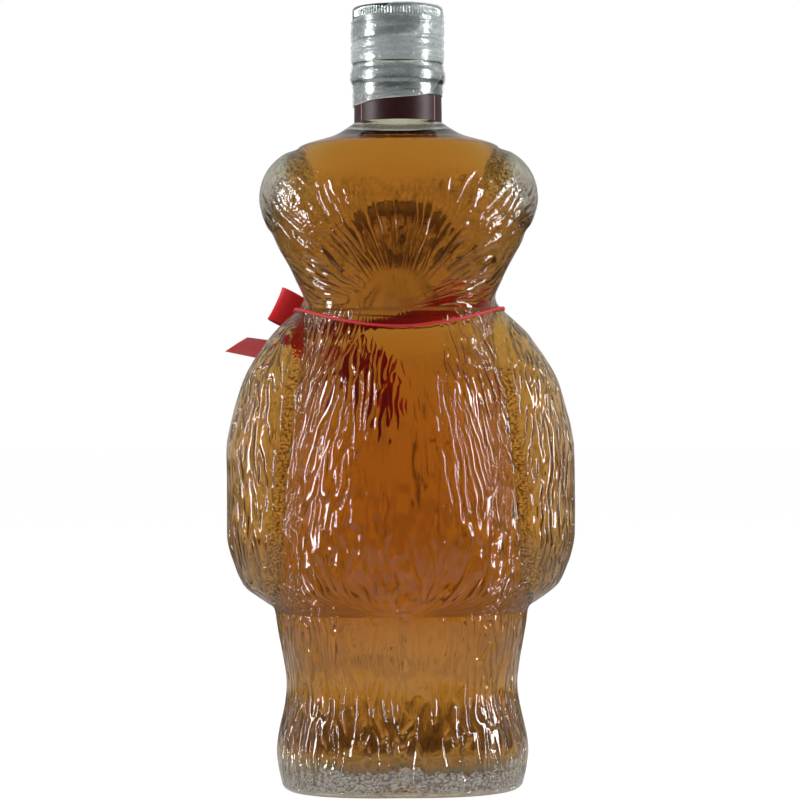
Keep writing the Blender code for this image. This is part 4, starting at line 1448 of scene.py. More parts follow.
@dataclass
class Closure:
    """The roll-on cap, its liner and the band below it."""

    radius: float = 0.01385
    ribs: int = 96
    rib_depth: float = 0.00022
    wall: float = 0.00025
    corner: float = 0.0010
    knurl_height: float = 0.0026
    bead: float = 0.00012
    bead_down: float = 0.0046
    bead_half: float = 0.00042
    groove: float = 0.00016
    groove_down: float = 0.0056
    groove_half: float = 0.0004
    top_dish: float = 0.00012
    liner_edge: float = 0.0002
    lip_print: float = 0.00022
    lip_middle: float = 0.0110
    lip_half: float = 0.0009
    thread_up: float = 0.0052
    thread_laps: float = 1.75
    thread_lead: float = 0.15
    thread_fade: float = 0.14
    thread_half: float = 0.00095
    thread_depth: float = 0.00062
    band_wall: float = 0.00022
    band_hem: float = 0.0135
    band_bulge: float = 0.01415
    bulge_low: Fade = (0.0031, 0.0048)
    bulge_high: Fade = (0.0011, 0.0028)
    band_collar: float = 0.0136
    bridges: int = 12
    bridge_half: float = 0.0006
    bridge_height: float = 0.0007
    finish: RolledAluminium = RolledAluminium("rolled_aluminium")

    def __post_init__(self) -> None:
        """Read the cap's and the band's places from the frame."""
        self.low, self.top = (corner.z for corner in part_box("cap_shell"))
        self.band_low, self.band_high = (corner.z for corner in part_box("tamper_band"))

    def thread(self, turn: Array, height: Array) -> Array:
        """The rolled thread: a cosine-squared valley along a helix that follows the glass.

        Args:
            turn: angle round the axis.
            height: height above the floor.

        Returns:
            Its depth.
        """
        low = self.low + self.thread_up - THREAD_PITCH / 2 - self.thread_lead * THREAD_PITCH
        end = self.thread_laps
        depth = np.zeros(np.broadcast(turn, height).shape)
        for lap in range(-1, 3):
            done = turn / FULL_TURN + lap
            fade = within((0.0, self.thread_fade, end - self.thread_fade, end), done)
            across = np.clip(np.abs(height - low - THREAD_PITCH * done) / self.thread_half, 0, 1)
            depth = np.maximum(depth, self.thread_depth * fade * np.cos(across * math.pi / 2) ** 2)
        return depth

    def outline(self, turn: Array, height: Array) -> Array:
        """The skirt's outside: knurled ribs at the top, a bead below them, and the rolled thread.

        Args:
            turn: angle round the axis.
            height: height above the floor.

        Returns:
            The radius.
        """
        knurl_low, knurl_high = self.top - self.corner - self.knurl_height, self.top - self.corner
        inside = smooth_step(knurl_low, knurl_low + 0.0004, height)
        inside = inside * smooth_step(knurl_high + 0.0002, knurl_high - 0.0003, height)
        between_ribs = self.rib_depth * (0.5 - 0.5 * np.cos(self.ribs * turn)) ** 0.7
        bead = self.bead * np.exp(-(((height - self.top + self.bead_down) / self.bead_half) ** 2))
        groove = self.groove * np.exp(-(((height - self.top + self.groove_down) / self.groove_half) ** 2))
        return self.radius - between_ribs * inside + bead - groove - self.thread(turn, height)

    def build_cap(self) -> Piece:
        """Lay the inside from the ceiling down, the rim, the outside up and the flat top.

        Returns:
            The cap.
        """
        turn = angles(self.ribs * 6)
        coarse = angles(self.ribs)
        skin = Skin()
        ceiling = self.top - self.wall
        inner = self.radius - self.wall - self.rib_depth
        skin.pole(ceiling)
        skin.lay(on_circle(inner - 0.0005, ceiling, coarse)[None])
        down = np.linspace(self.top - 0.0042, self.low, 30)[:, None]
        skin.lay(on_circle(inner, ceiling - 0.0005, coarse)[None])
        skin.lay(on_circle(self.radius - self.wall - self.thread(coarse, down), down, coarse))
        heights = np.concatenate([
            np.linspace(self.low, self.top - 0.0062, 44),
            np.linspace(self.top - 0.0060, self.top - self.corner, 30),
        ])[:, None]
        skin.lay(on_circle(self.outline(turn, heights), heights, turn))
        lean = np.radians(np.array([22.5, 45.0, 67.5, 90.0]))[:, None]
        rim = self.radius - self.corner + self.corner * np.cos(lean)
        skin.lay(on_circle(rim, self.top - self.corner + self.corner * np.sin(lean), turn))
        dish = np.array([[0.9], [0.8], [0.4]])
        sink = np.array([[0.0], [self.top_dish], [self.top_dish]])
        skin.lay(on_circle(rim[-1] * dish, self.top - sink, coarse))
        skin.pole(self.top - self.top_dish)
        cap = skin.piece("cap", self.finish, sharp_degrees=50.0)
        return settle(cap, Body.CAP, "cap_shell")

    def build_liner(self) -> Piece:
        """A disc with a shallow ring pressed up by the lip.

        Returns:
            The liner.
        """
        low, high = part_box("cap_liner")
        turn = angles(96)
        radius = high.x
        skin = Skin()
        skin.pole(low.z)
        inside = np.linspace(0.3, 0.985, 14)[:, None] * radius
        pressed = self.lip_print * np.exp(-(((inside - self.lip_middle) / self.lip_half) ** 4))
        skin.lay(on_circle(inside, low.z + pressed, turn))
        lean = np.radians(np.array([0.0, 45.0, 90.0]))[:, None]
        corner = self.liner_edge
        edge = radius - corner + corner * np.cos(lean)
        skin.lay(on_circle(edge, high.z - corner + corner * np.sin(lean), turn))
        skin.pole(high.z)
        liner = skin.piece("liner", LinerFoam("liner_foam"), sharp_degrees=50.0)
        return settle(liner, Body.LINER, "cap_liner")

    def build_band(self) -> Piece:
        """A ring with a bulge over the glass's locking ring, and stubs of the bridges on its upper edge.

        Returns:
            The band.
        """
        turn = angles(self.bridges * 24)
        heights = np.linspace(self.band_low, self.band_high - 0.0005, 46)[:, None]
        inside = self.band_inside(heights)
        outer = on_circle(inside + self.band_wall, heights, turn)
        skin = sleeve(outer, on_circle(inside, heights, turn))
        self.add_stubs(skin, inside[-1, 0])
        band = skin.piece("band", self.finish, sharp_degrees=50.0)
        return settle(band, Body.BAND, "tamper_band")

    def band_inside(self, heights: Array) -> Array:
        """The band's inside: a straight hem, a rounded bulge and a straight collar.

        Args:
            heights: heights above the floor.

        Returns:
            The radius.
        """
        low, high = self.band_low, self.band_high
        up = smooth_step(low + self.bulge_low[0], low + self.bulge_low[1], heights)
        down = smooth_step(high - self.bulge_high[0], high - self.bulge_high[1], heights)
        below = self.band_hem + (self.band_bulge - self.band_hem) * up
        above = self.band_collar + (self.band_bulge - self.band_collar) * down
        return np.where(heights < 0.5 * (low + high), below, above)

    def add_stubs(self, skin: Skin, inside: float) -> None:
        """Add small blocks, the torn halves of the bridges, to the band's upper edge.

        Args:
            skin: the band's skin.
            inside: its inside radius at that edge.
        """
        middle = angles(self.bridges)
        half = self.bridge_half / self.radius
        corners = []
        for height in (self.band_high - self.bridge_height, self.band_high):
            for radius in (inside, inside + self.band_wall):
                for side in (-half, half):
                    corners.append(on_circle(radius, height, middle + side))
        points = np.stack(corners, axis=1).reshape(-1, 3)
        box = np.array([(0, 1, 3, 2), (4, 6, 7, 5), (0, 4, 5, 1), (2, 3, 7, 6), (0, 2, 6, 4), (1, 5, 7, 3)])
        faces = (box[None] + 8 * np.arange(self.bridges)[:, None, None]).reshape(-1, 4)
        skin.add_faces(faces + skin.count)
        skin.blocks.append(points)
        skin.count += len(points)


@dataclass
class SealFilm:
    """The shrink film: one skin over the cap and one over the band, parted at the tear line.

    Its edges are given at angles in degrees: the heights of the overlap's edge and of the torn hem, and how
    far the film reaches past the top of the skirt.
    """

    closure: Closure
    columns: int = 360
    thickness: float = 0.00010
    gap: float = 0.00012
    finish: ShrinkFilm = ShrinkFilm("shrink_film")
    seed: int = 31
    flap_step: float = 0.00016
    flap_edge: dict[float, float] = field(default_factory=lambda: {
        20: 0.2290, 87: 0.2297, 107: 0.2306, 122: 0.2333, 138: 0.2372, 330: 0.2372,
    })
    top_edge: dict[float, float] = field(default_factory=lambda: {
        0: -0.0035, 57: -0.0020, 81: 0.0005, 110: 0.0034, 180: 0.0045, 270: 0.0040, 320: 0.0, 340: -0.0030,
    })
    hem_edge: dict[float, float] = field(default_factory=lambda: {
        0: 0.2092, 30: 0.2093, 60: 0.2103, 90: 0.2108, 125: 0.2117, 145: 0.2145,
        160: 0.2185, 200: 0.2120, 260: 0.2100, 330: 0.2092,
    })
    rim_width: float = 0.00022
    fold_width: float = 0.0016
    fold_depth: float = 0.00019
    wave_width: float = 0.0045
    wave_depth: float = 0.00010

    @staticmethod
    def round_the_neck(turn: Array, stations: dict[float, float]) -> Array:
        """A smooth closed curve through values at angles in degrees, read at angles in radians."""
        table = [(degrees + lap, value) for lap in (-360, 0, 360) for degrees, value in stations.items()]
        return through(np.array(table), np.degrees(turn) % 360)[0]

    def flap(self, turn: Array, height: Array) -> Array:
        """1 where the film's overlap lies, below an edge that climbs to the right, and 0 above it."""
        edge = self.round_the_neck(turn, self.flap_edge)
        return smooth_step(edge + 0.0001, edge - 0.0001, height)

    def rim(self, off: Array) -> Array:
        """The milkiness along a cut edge, by the distance from it: a bell a third of a millimetre wide."""
        return 2.2 * np.exp(-((off / self.rim_width) ** 2))

    def crumple(self, turn: Array, height: Array) -> Array:
        """Wrinkles: sharp folds where a noise crosses zero, stretched round the neck, over slow waves.

        Args:
            turn: angle round the axis.
            height: height above the floor.

        Returns:
            How far they stand out.
        """
        place = on_circle(0.014, height, turn)
        stretched = place * np.array([0.35, 0.35, 1.0])
        folds = 1 - np.abs(GradientNoise(self.seed)(stretched / self.fold_width))
        waves = GradientNoise(self.seed + 1)(place / self.wave_width)
        return self.fold_depth * np.clip(folds, 0, 1) ** 4 + self.wave_depth * (waves + 1)

    def finish_film(self, skin: Skin, name: str, haze: Array, body: Body, node: str) -> Piece:
        """Make one film and store how milky it is.

        Args:
            skin: the film's two faces.
            name: the piece's name.
            haze: the milkiness of the outer face's points.
            body: the body that carries it.
            node: the node that it stands for.

        Returns:
            The film.
        """
        film = skin.piece(name, self.finish)
        give_attribute(film, "haze", np.concatenate([haze, haze[::-1]]).ravel())
        return settle(film, body, node)

    def build_upper(self) -> Piece:
        """The film over the cap: up the skirt, round the corner and over the rim of the top.

        Returns:
            The film.
        """
        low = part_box("seal_film_upper")[0]
        turn = angles(self.columns)
        cap = self.closure
        skirt_top = cap.top - cap.corner
        along = np.linspace(0.0, 1.0, 84)[:, None]
        skirt = skirt_top - low.z
        arc = cap.corner * math.pi / 2
        length = skirt + self.round_the_neck(turn, self.top_edge)
        s = along * length
        lean = np.clip((s - skirt) / cap.corner, 0, math.pi / 2)
        past = np.clip(s - skirt - arc, 0, None)
        height = low.z + np.minimum(s, skirt)
        body = cap.outline(turn, height)
        hug = cap.radius - 0.55 * (cap.radius - body)
        wrinkle = self.crumple(turn, height) * smooth_step(0.0, 0.0006, s)
        flap = self.flap(turn, height)
        offset = self.gap + wrinkle + self.flap_step * flap * smooth_step(0.0, 0.0006, s)
        radius = hug + offset - cap.corner * (1 - np.cos(lean)) - past
        z = height + (cap.corner + 0.6 * offset) * np.sin(lean)
        inside = on_circle(radius, z, turn)
        outward = np.stack([np.cos(lean) * np.cos(turn), np.cos(lean) * np.sin(turn), np.sin(lean)], axis=-1)
        skin = sleeve(inside + outward * self.thickness, inside)
        haze = flap + self.rim(length - s) + 0.5 * self.rim(2 * (flap - 0.5) * self.rim_width)
        return self.finish_film(skin, "seal_film_over_cap", haze, Body.CAP, "seal_film_upper")

    def build_lower(self) -> Piece:
        """The film over the band, drawn in below its bulge on to the label.

        Returns:
            The film.
        """
        high, band_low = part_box("seal_film_lower")[1].z, self.closure.band_low
        turn = angles(self.columns)
        share = np.linspace(0.0, 1.0, 64)[:, None]
        foot = self.round_the_neck(turn, self.hem_edge)
        heights = foot + (high - foot) * share
        over_band = self.closure.band_inside(heights) + self.closure.band_wall
        over_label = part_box("neck_label")[1].x
        on_band = smooth_step(band_low - 0.0009, band_low + 0.0002, heights)
        radius = over_label + (over_band - over_label) * on_band + self.gap + self.crumple(turn, heights)
        skin = sleeve(on_circle(radius + self.thickness, heights, turn), on_circle(radius, heights, turn))
        haze = 0.9 * smooth_step(0.2134, 0.2122, heights) + 0.5 * smooth_step(0.2165, 0.2180, heights)
        haze = haze + self.rim(heights - foot)
        return self.finish_film(skin, "seal_film_over_band", haze, Body.BOTTLE, "seal_film_lower")


@dataclass
class NeckLabel:
    """The paper label round the neck, with slightly lifted edges."""

    columns: int = 300
    thickness: float = 0.0001
    lift: float = 0.00006
    finish: PrintedPaper = PrintedPaper("printed_paper")
    back: PrintedPaper = PrintedPaper(
        "paper_back", ground=(0.30, 0.05, 0.06, 1.0), worn=(0.36, 0.08, 0.09, 1.0)
    )

    def build(self) -> Piece:
        """A thin tube; its UV map gives the distance round from the middle of the nearer side.

        Returns:
            The label.
        """
        low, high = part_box("neck_label")
        turn = angles(self.columns)
        heights = np.linspace(low.z, high.z, 30)[:, None]
        lift = self.lift * GradientNoise(5)(on_circle(0.0136, heights, turn) / 0.004)
        outer = high.x - self.lift + lift
        skin = sleeve(on_circle(outer, heights, turn), on_circle(outer - self.thickness, heights, turn), 1)
        label = skin.piece("label", self.finish, self.back, sharp_degrees=60.0)
        around = np.abs(np.arcsin(np.cos(turn))) * high.x
        rows = np.broadcast_to(around, (len(heights), len(turn)))
        along = np.concatenate([rows, rows[::-1]]).ravel()
        up = np.concatenate([heights, heights[::-1]]) * np.ones(len(turn))
        give_uv(label, np.stack([along, up.ravel()], axis=1))
        return settle(label, Body.BOTTLE, "neck_label")


@dataclass
class Elastic:
    """The covered elastic round the waist."""

    form: BearForm
    radius: float = 0.00045
    gap: float = 0.0003
    side_height: float = 0.1468
    back_height: float = 0.1408
    front_height: float = 0.1358
    columns: int = 1100
    around: int = 14
    braid_pitch: float = 0.0016
    yarn_relief: float = 0.10
    finish: BraidedElastic = BraidedElastic("braided_elastic")

    def height(self, turn: Array) -> Array:
        """The elastic's height in the waist groove: lower at the back and under the chin.

        Args:
            turn: angle round the axis.

        Returns:
            The height.
        """
        back, front = back_and_front(turn)
        drop = (self.side_height - self.back_height) * back + (self.side_height - self.front_height) * front
        return self.side_height - drop

    def line(self, turn: Array) -> Array:
        """The centre line: the waist's outside plus the cord's radius and a hair."""
        height = self.height(turn)
        return on_circle(self.form.outside(turn, height) + self.radius + self.gap, height, turn)

    def build(self) -> Piece:
        """A tube on the centre line whose radius swells where yarns of two opposite helices cross.

        Returns:
            The elastic.
        """
        turn = self.form.turns(self.columns)
        line = self.line(turn)
        ahead = unit(np.roll(line, -1, axis=0) - np.roll(line, 1, axis=0))
        up = unit(np.array([0.0, 0.0, 1.0]) - ahead * ahead[:, 2:3])
        out = np.cross(ahead, up)
        step = np.linalg.norm(np.diff(line, axis=0, append=line[:1]), axis=1)
        along = np.concatenate([[0], np.cumsum(step)[:-1]])
        laps = round(step.sum() / self.braid_pitch)
        phase = along / step.sum() * laps * FULL_TURN
        spin = angles(self.around)
        left = np.abs(np.sin(2 * spin + phase[:, None]))
        right = np.abs(np.sin(2 * spin - phase[:, None]))
        crown = np.maximum(left, right) ** 2
        radius = self.radius * (1 - self.yarn_relief + self.yarn_relief * crown)
        ring = np.cos(spin)[None, :, None] * out[:, None] + np.sin(spin)[None, :, None] * up[:, None]
        skin = Skin()
        skin.lay(line[:, None] + ring * radius[..., None])
        skin.close()
        cord = skin.piece("elastic", self.finish)
        # the crowns also carry the elastic's painted highlight in its material
        give_attribute(cord, "crown", crown.ravel())
        places = np.stack([np.repeat(along, self.around), np.tile(spin * self.radius, self.columns)], axis=1)
        give_uv(cord, places)
        return settle(cord, Body.BOTTLE, "elastic_cord")


@dataclass
class RibbonBow:
    """The satin bow on the front of the waist: a wrapped knot, two loops and two tails."""

    elastic: Elastic
    width: float = 0.0112
    thickness: float = 0.00022
    turn: float = math.radians(-68.0)
    knot_half: Triple = (0.0036, 0.0026, 0.0048)
    loop_length: float = 0.0265
    loop_half: float = 0.0034
    loop_pinch: float = 0.0009
    across_points: int = 25
    gap: float = 0.0003
    standoff: float = 0.00035
    loop_start: float = 0.0005
    tail_drop: float = 0.0026
    gathered: float = 0.0052
    end_slant: float = 0.0052
    finish: SatinRibbon = SatinRibbon("satin_ribbon")

    def __post_init__(self) -> None:
        """Work out the bow's own axes and the knot's centre."""
        self.out = np.array([math.cos(self.turn), math.sin(self.turn), 0.0])
        self.side = np.array([-math.sin(self.turn), math.cos(self.turn), 0.0])
        self.up = np.array([0.0, 0.0, 1.0])
        turn = np.array(self.turn)
        height = float(self.elastic.height(turn))
        surface = float(self.elastic.form.outside(turn, np.array(height)))
        seat = surface + 2 * self.elastic.radius + self.standoff + self.gap
        self.centre = self.out * (seat + self.knot_half[1]) + self.up * height
        self.place = np.linspace(-0.5, 0.5, self.across_points)

    def strip(
        self,
        name: str,
        node: str,
        line: Array,
        across: Array,
        face: Array,
        widths: Array,
        pleat: Array,
        closed: bool,
        slant: float = 0.0,
    ) -> Piece:
        """A strip of ribbon: a grid of its length by its width, given a thickness by a second layer.

        A point is the centre line plus the across direction times its place over the width, plus the
        face direction times the pleats there. A slanted end moves each point ahead by its place.

        Args:
            name: the piece's name.
            node: the node that it stands for.
            line: centre line, shape (steps, 3).
            across: unit directions over the width.
            face: unit directions square to the ribbon.
            widths: width at each step.
            pleat: pleats' height at each step and place, shape (steps, places).
            closed: whether the strip returns to its start.
            slant: how far the far end's cut slants.

        Returns:
            The object.
        """
        place = self.place
        grid = line[:, None] + across[:, None] * (place * widths[:, None])[..., None]
        if not closed:
            ahead = unit(line[-1] - line[-2])
            share = smooth_step(0.55, 1.0, np.linspace(0, 1, len(line)))
            grid = grid - (share[:, None] * place * slant)[..., None] * ahead
        grid = grid + face[:, None] * pleat[..., None]
        half = face[:, None] * self.thickness / 2
        skin = Skin()
        ring = np.concatenate([grid + half, (grid - half)[:, ::-1]], axis=1)
        if not closed:
            skin.lay(grid[:1].mean(axis=1, keepdims=True))
            skin.lay(ring)
            skin.lay(grid[-1:].mean(axis=1, keepdims=True))
        else:
            skin.lay(ring)
            skin.close()
        piece = skin.piece(name, self.finish, sharp_degrees=60.0)
        self.recalculate(piece)
        steps = np.concatenate([[0], np.cumsum(np.linalg.norm(np.diff(line, axis=0), axis=1))])
        over = np.concatenate([place, place[::-1]]) * self.width
        places = np.stack(np.broadcast_arrays(steps[:, None], over), axis=-1).reshape(-1, 2)
        if not closed:
            places = np.concatenate([[[0.0, 0.0]], places, [[steps[-1], 0.0]]])
        give_uv(piece, places)
        settle(piece, Body.BOTTLE, node)
        return piece

    def recalculate(self, piece: Piece) -> None:
        """Turn a closed piece's faces outwards if its volume came out negative.

        Args:
            piece: the object.
        """
        mesh = piece.data
        mesh.calc_loop_triangles()
        corners = np.zeros(len(mesh.loop_triangles) * 3, int)
        mesh.loop_triangles.foreach_get("vertices", corners)
        points = np.zeros(len(mesh.vertices) * 3)
        mesh.vertices.foreach_get("co", points)
        a, b, c = points.reshape(-1, 3)[corners].reshape(-1, 3, 3).transpose(1, 0, 2)
        if np.sum(a * np.cross(b, c)) < 0:
            mesh.flip_normals()

    def build_loop(self, hand: Hand) -> Piece:
        """One loop: a drop-shaped closed path that opens outwards from the knot and rises.

        At an angle t round the path, it lies out by its length times s, the square of the sine of half of
        t, and to the side by its thickness times the sine of t. Both grow with s.

        Args:
            hand: the loop's side.

        Returns:
            The loop.
        """
        rise = math.radians(27.0 if hand is Hand.LEFT else 32.0)
        fold = math.radians(0.0 if hand is Hand.LEFT else 24.0)
        away = self.side * hand.value
        level = away * math.cos(fold) - self.out * math.sin(fold)
        face = self.out * math.cos(fold) + away * math.sin(fold)
        along = level * math.cos(rise) + self.up * math.sin(rise)
        width_way = self.up * math.cos(rise) - level * math.sin(rise)
        start = self.centre + away * (self.knot_half[0] + self.gap + self.loop_start)
        swell = self.loop_half - self.loop_pinch
        t = angles(150)
        open_share = np.sin(t / 2) ** 2
        thick = self.loop_pinch + swell * open_share
        line = start + np.outer(self.loop_length * open_share, along)
        line = line + np.outer(thick * np.sin(t) + swell * open_share, face)
        ahead = np.roll(line, -1, axis=0) - np.roll(line, 1, axis=0)
        across = unit(np.outer(1 - open_share, self.up) + np.outer(open_share, width_way))
        normal = unit(np.cross(ahead, across))
        widths = self.width * (0.62 + 0.38 * np.sin(t / 2))
        gather = 0.00045 * np.exp(-open_share / 0.22)
        pleat = gather[:, None] * np.cos(self.place * 3.0 * math.pi + 0.4)
        pleat = pleat + 0.0003 * open_share[:, None] * (4 * self.place ** 2)
        name = f"loop_{hand.name.lower()}"
        return self.strip(name, f"bow_{name}", line, across, normal, widths, pleat, closed=True)

    def build_tail(self, hand: Hand) -> Piece:
        """One tail: a quadratic curve from under the knot, turning over, its end cut slanting.

        Args:
            hand: the tail's side.

        Returns:
            The tail.
        """
        reach = {
            Hand.LEFT: ((0.0185, 0.0090, 0.0045), (0.0358, 0.0127, 0.0069)),
            Hand.RIGHT: ((0.0040, 0.0046, -0.0100), (0.0100, 0.0042, -0.0215)),
        }[hand]
        twist_end = math.radians(68.0 if hand is Hand.LEFT else 8.0)
        away = self.side * hand.value
        drop = self.knot_half[2] + self.gap + self.tail_drop
        start = self.centre + away * self.knot_half[0] * 0.5 + self.out * 0.0011 - self.up * drop
        axes = np.stack([away, self.out, self.up])
        middle, tip = np.array(reach) @ axes
        t = np.linspace(0, 1, 90)
        line = start + np.outer(2 * t * (1 - t), middle) + np.outer(t * t, tip)
        heading = unit(np.outer(1 - t, middle) + np.outer(t, tip - middle))
        face = unit(self.out - heading * (heading @ self.out)[:, None])
        edge = np.cross(heading, face)
        edge *= np.where(edge[:, 2:3] > 0, 1, -1)
        twist = (twist_end * np.sin(t * math.pi / 2))[:, None]
        normal = face * np.cos(twist) + edge * np.sin(twist)
        across = edge * np.cos(twist) - face * np.sin(twist)
        widths = self.gathered + (self.width - self.gathered) * np.minimum(1.0, 2.5 * t)
        pleat = 0.0005 * np.exp(-t / 0.25)[:, None] * np.cos(self.place * 2.4 * math.pi)
        pleat = pleat + 0.00035 * np.sin(self.place * 2.0 + t[:, None] * 7.0)
        name = f"tail_{hand.name.lower()}"
        return self.strip(
            name, f"bow_{name}", line, across, normal, widths, pleat, closed=False, slant=self.end_slant
        )

    def build_knot(self) -> Piece:
        """The knot: a superellipsoid of a ribbon wrapped over, with pleats running round it.

        Returns:
            The knot.
        """
        rows, columns = 60, 96
        north = (np.linspace(-0.5, 0.5, rows)[1:-1] * math.pi)[:, None]
        turn = angles(columns)

        def bend(value: Array, power: float) -> Array:
            """A power that keeps the value's sign."""
            return np.sign(value) * np.abs(value) ** power

        x = bend(np.sin(north), 0.55) * np.ones_like(turn)
        round_size = bend(np.cos(north), 0.55)
        y = round_size * bend(np.cos(turn), 0.7)
        z = round_size * bend(np.sin(turn), 0.7)
        pleats = 1 + 0.05 * np.cos(north * 7.0 + 0.5 * np.sin(turn * 2)) * np.cos(north)
        place = np.stack([x * self.knot_half[0], y * self.knot_half[1] * pleats,
                          z * self.knot_half[2] * pleats * (1 - 0.16 * np.abs(x))], axis=-1)
        axes = np.stack([-self.side, self.out, self.up])
        points = self.centre + place @ axes
        skin = Skin()
        ends = self.centre + np.outer([-1.0, 1.0], self.side * -self.knot_half[0])
        skin.lay(ends[:1][None])
        skin.lay(points)
        skin.lay(ends[1:][None])
        knot = skin.piece("knot", self.finish)
        self.recalculate(knot)
        around = np.broadcast_to(turn * 0.004, (rows - 2, columns)).ravel()
        over = np.broadcast_to(north * 0.003, (rows - 2, columns)).ravel()
        places = np.stack([around, over], axis=1)
        give_uv(knot, np.concatenate([[[0.0, 0.0]], places, [[0.0, 0.0]]]))
        return settle(knot, Body.BOTTLE, "bow_knot")

    def build(self) -> None:
        """Make the knot, the loops and the tails."""
        self.build_knot()
        for hand in Hand:
            self.build_loop(hand)
            self.build_tail(hand)


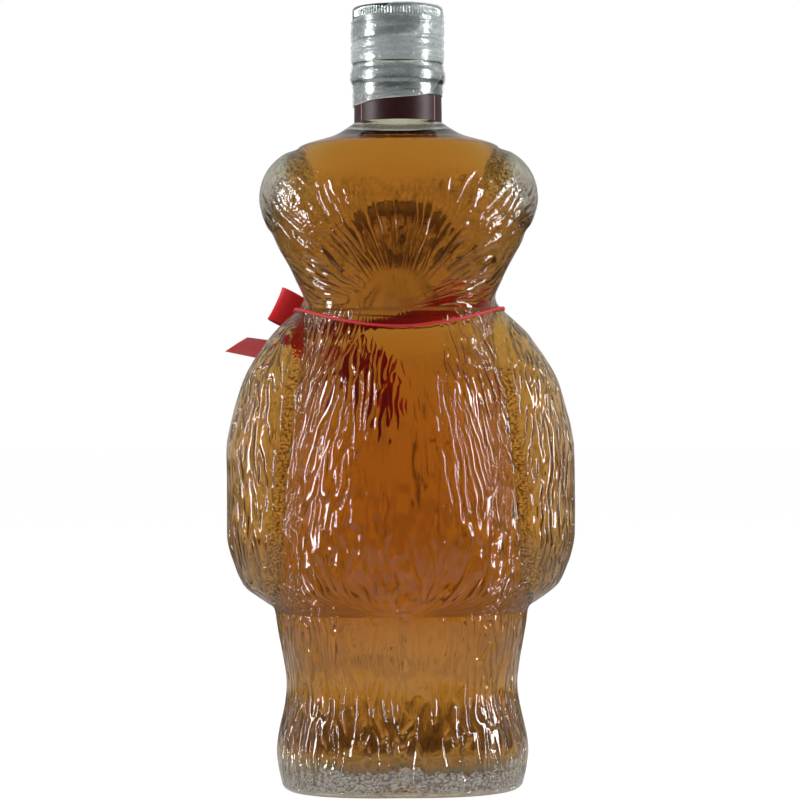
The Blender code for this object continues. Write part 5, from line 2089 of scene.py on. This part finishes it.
@dataclass(frozen=True)
class Studio:
    """The camera at the photograph's place, two tall soft lamps, a pale floor and a plain surround.

    The floor and the surround are white to the camera. In reflections and through the glass their
    brightness depends on where they lie, as it would in a small studio. Seen through the glass, the
    floor also carries a painted shadow close under the bottle.
    """

    distance: float = 0.905
    eye_height: float = 0.1186
    picture_pixels: float = 800.0
    focal_pixels: float = 2930.0
    lean: float = math.radians(0.41)
    lamp_angle: float = 77.0
    lamp_distance: float = 0.95
    lamp_lift: float = 0.06
    lamp_width: float = 0.14
    lamp_height: float = 0.80
    lamp_watts: float = 12.0
    fill: float = 0.40
    seen_front: float = 0.38
    seen_through: float = 0.45
    mirrored: float = 0.05
    mirrored_behind: float = 0.50
    floor_colour: Colour = (0.86, 0.86, 0.86, 1.0)
    floor_white: float = 0.70
    floor_glow: float = 1.27
    floor_mirrored: float = 0.55
    table_edge: float = 0.26
    table_colour: Colour = (0.97, 1.0, 0.90, 1.0)
    # Seen through the glass, the floor is dimmed as a painted shadow within these radii, from the near
    # brightness up to the far one.
    table_near: float = 0.05
    table_far: float = 0.15
    painted_shadow_seen: float = 0.16
    table_seen: float = 0.60

    def build(self) -> None:
        """Set the camera, the lamps, the floor and the world."""
        self.set_camera()
        for side in (1, -1):
            self.set_lamp(side)
        self.set_floor()
        self.set_world()
        bpy.context.scene.view_settings.view_transform = "Standard"

    def set_camera(self) -> None:
        """The camera behind the bear, level, at the height where the photograph looks straight on."""
        data = bpy.data.cameras.new("camera")
        data.sensor_width = 36.0
        data.lens = data.sensor_width * self.focal_pixels / self.picture_pixels
        data.clip_start = 0.01
        camera = add_object("camera", data)
        camera.location = (0.0, self.distance, self.eye_height)
        camera.rotation_euler = (math.radians(90), self.lean, math.radians(180))
        bpy.context.scene.camera = camera

    def set_lamp(self, side: int) -> None:
        """A tall soft lamp beside the bottle, facing it.

        Args:
            side: 1 for the picture's left, -1 for its right.
        """
        name = f"lamp_{'left' if side > 0 else 'right'}"
        data = bpy.data.lights.new(name, "AREA")
        data.shape = "RECTANGLE"
        data.size = self.lamp_width
        data.size_y = self.lamp_height
        data.energy = self.lamp_watts
        lamp = add_object(name, data)
        lamp.visible_transmission = False
        turn = math.radians(90 - side * self.lamp_angle)
        away = self.lamp_distance
        lamp.location = (away * math.cos(turn), away * math.sin(turn), self.eye_height + self.lamp_lift)
        lamp.rotation_euler = (math.radians(90), 0.0, turn + math.radians(90))

    def by_ray(
        self, nodes: Nodes, plain: Socket, shown: Socket, mirrored: Socket, through: Socket, share: float
    ) -> Socket:
        """A shader that differs by the kind of ray that meets it.

        Args:
            nodes: the tree.
            plain: what lights the object, or is lit.
            shown: what the camera sees.
            mirrored: what reflections see.
            through: what is seen through glass.
            share: how much of what the camera sees is shown, the rest being plain.

        Returns:
            The shader.
        """
        rays = nodes.node("ShaderNodeLightPath").outputs
        light = nodes.choose(nodes.sum("MULTIPLY", rays["Is Camera Ray"], share), plain, shown)
        light = nodes.choose(rays["Is Glossy Ray"], light, mirrored)
        return nodes.choose(rays["Is Transmission Ray"], light, through)

    def set_floor(self) -> None:
        """A wide disc with a painted shadow: seen through the glass it glows dimmer close under the bottle.
        It is dim in reflections past the table.
        """
        skin = Skin()
        skin.pole(0.0)
        skin.lay(on_circle(np.array([[0.2], [1.0], [6.0]]), 0.0, angles(96)))
        mesh = skin.mesh("floor")
        mesh.flip_normals()
        add_object("floor", mesh)
        material = bpy.data.materials.new("floor_paper")
        material.use_nodes = True
        nodes = Nodes(material.node_tree)
        nodes.tree.nodes.clear()
        place = nodes.node("ShaderNodeTexCoord").outputs["Object"]
        measure = nodes.node("ShaderNodeVectorMath", Vector=place)
        measure.operation = "LENGTH"
        away = measure.outputs["Value"]

        def glow(strength: object, colour: Colour = WHITE) -> Socket:
            """Light of a strength and a colour."""
            return nodes.node("ShaderNodeEmission", Color=colour, Strength=strength).outputs[0]

        edge, end = self.table_edge, self.table_edge * 1.5
        dim = nodes.remap(away, edge, end, self.floor_mirrored, self.mirrored, smooth=True)
        # painted shadow: through the glass the floor glows dimmer close under the bottle and brighter
        # further out
        through_with_shadow = nodes.remap(
            away, self.table_near, self.table_far, self.painted_shadow_seen, self.table_seen, smooth=True
        )
        paper = nodes.node("ShaderNodeBsdfDiffuse", Color=self.floor_colour).outputs[0]
        light = self.by_ray(
            nodes, paper, glow(self.floor_glow), glow(dim), glow(through_with_shadow, self.table_colour), self.floor_white
        )
        nodes.node("ShaderNodeOutputMaterial", Surface=light)
        mesh.materials.append(material)

    def set_world(self) -> None:
        """White to the camera, pale grey through glass, and a soft fill light.

        In reflections it is dim in front of the bottle and pale behind it, as the backdrop is.
        """
        world = bpy.data.worlds.new("studio")
        bpy.context.scene.world = world
        world.use_nodes = True
        nodes = Nodes(world.node_tree)
        nodes.tree.nodes.clear()
        place = nodes.node("ShaderNodeTexCoord").outputs["Generated"]
        way = nodes.node("ShaderNodeSeparateXYZ", Vector=place).outputs["Y"]

        def glow(strength: object) -> Socket:
            """White light of a strength."""
            return nodes.node("ShaderNodeBackground", Color=WHITE, Strength=strength).outputs[0]

        mirrored = nodes.remap(way, 0.1, -0.7, self.mirrored, self.mirrored_behind, smooth=True)
        seen = nodes.remap(way, 0.5, -0.3, self.seen_front, self.seen_through, smooth=True)
        light = self.by_ray(nodes, glow(self.fill), glow(1.0), glow(mirrored), glow(seen), share=1.0)
        nodes.node("ShaderNodeOutputWorld", Surface=light)


def main() -> None:
    """Build the bottle's pieces in order, from the glass out, and then the studio."""
    logging.basicConfig(level=logging.INFO, format="%(name)s: %(message)s")
    form = BearForm()
    GlassBottle(form, Fur(form)).build()
    WhiskyFill(form).build()
    closure = Closure()
    closure.build_cap()
    closure.build_liner()
    closure.build_band()
    film = SealFilm(closure)
    film.build_upper()
    film.build_lower()
    NeckLabel().build()
    elastic = Elastic(form)
    elastic.build()
    RibbonBow(elastic).build()
    Studio().build()


if __name__ == "__main__":
    main()
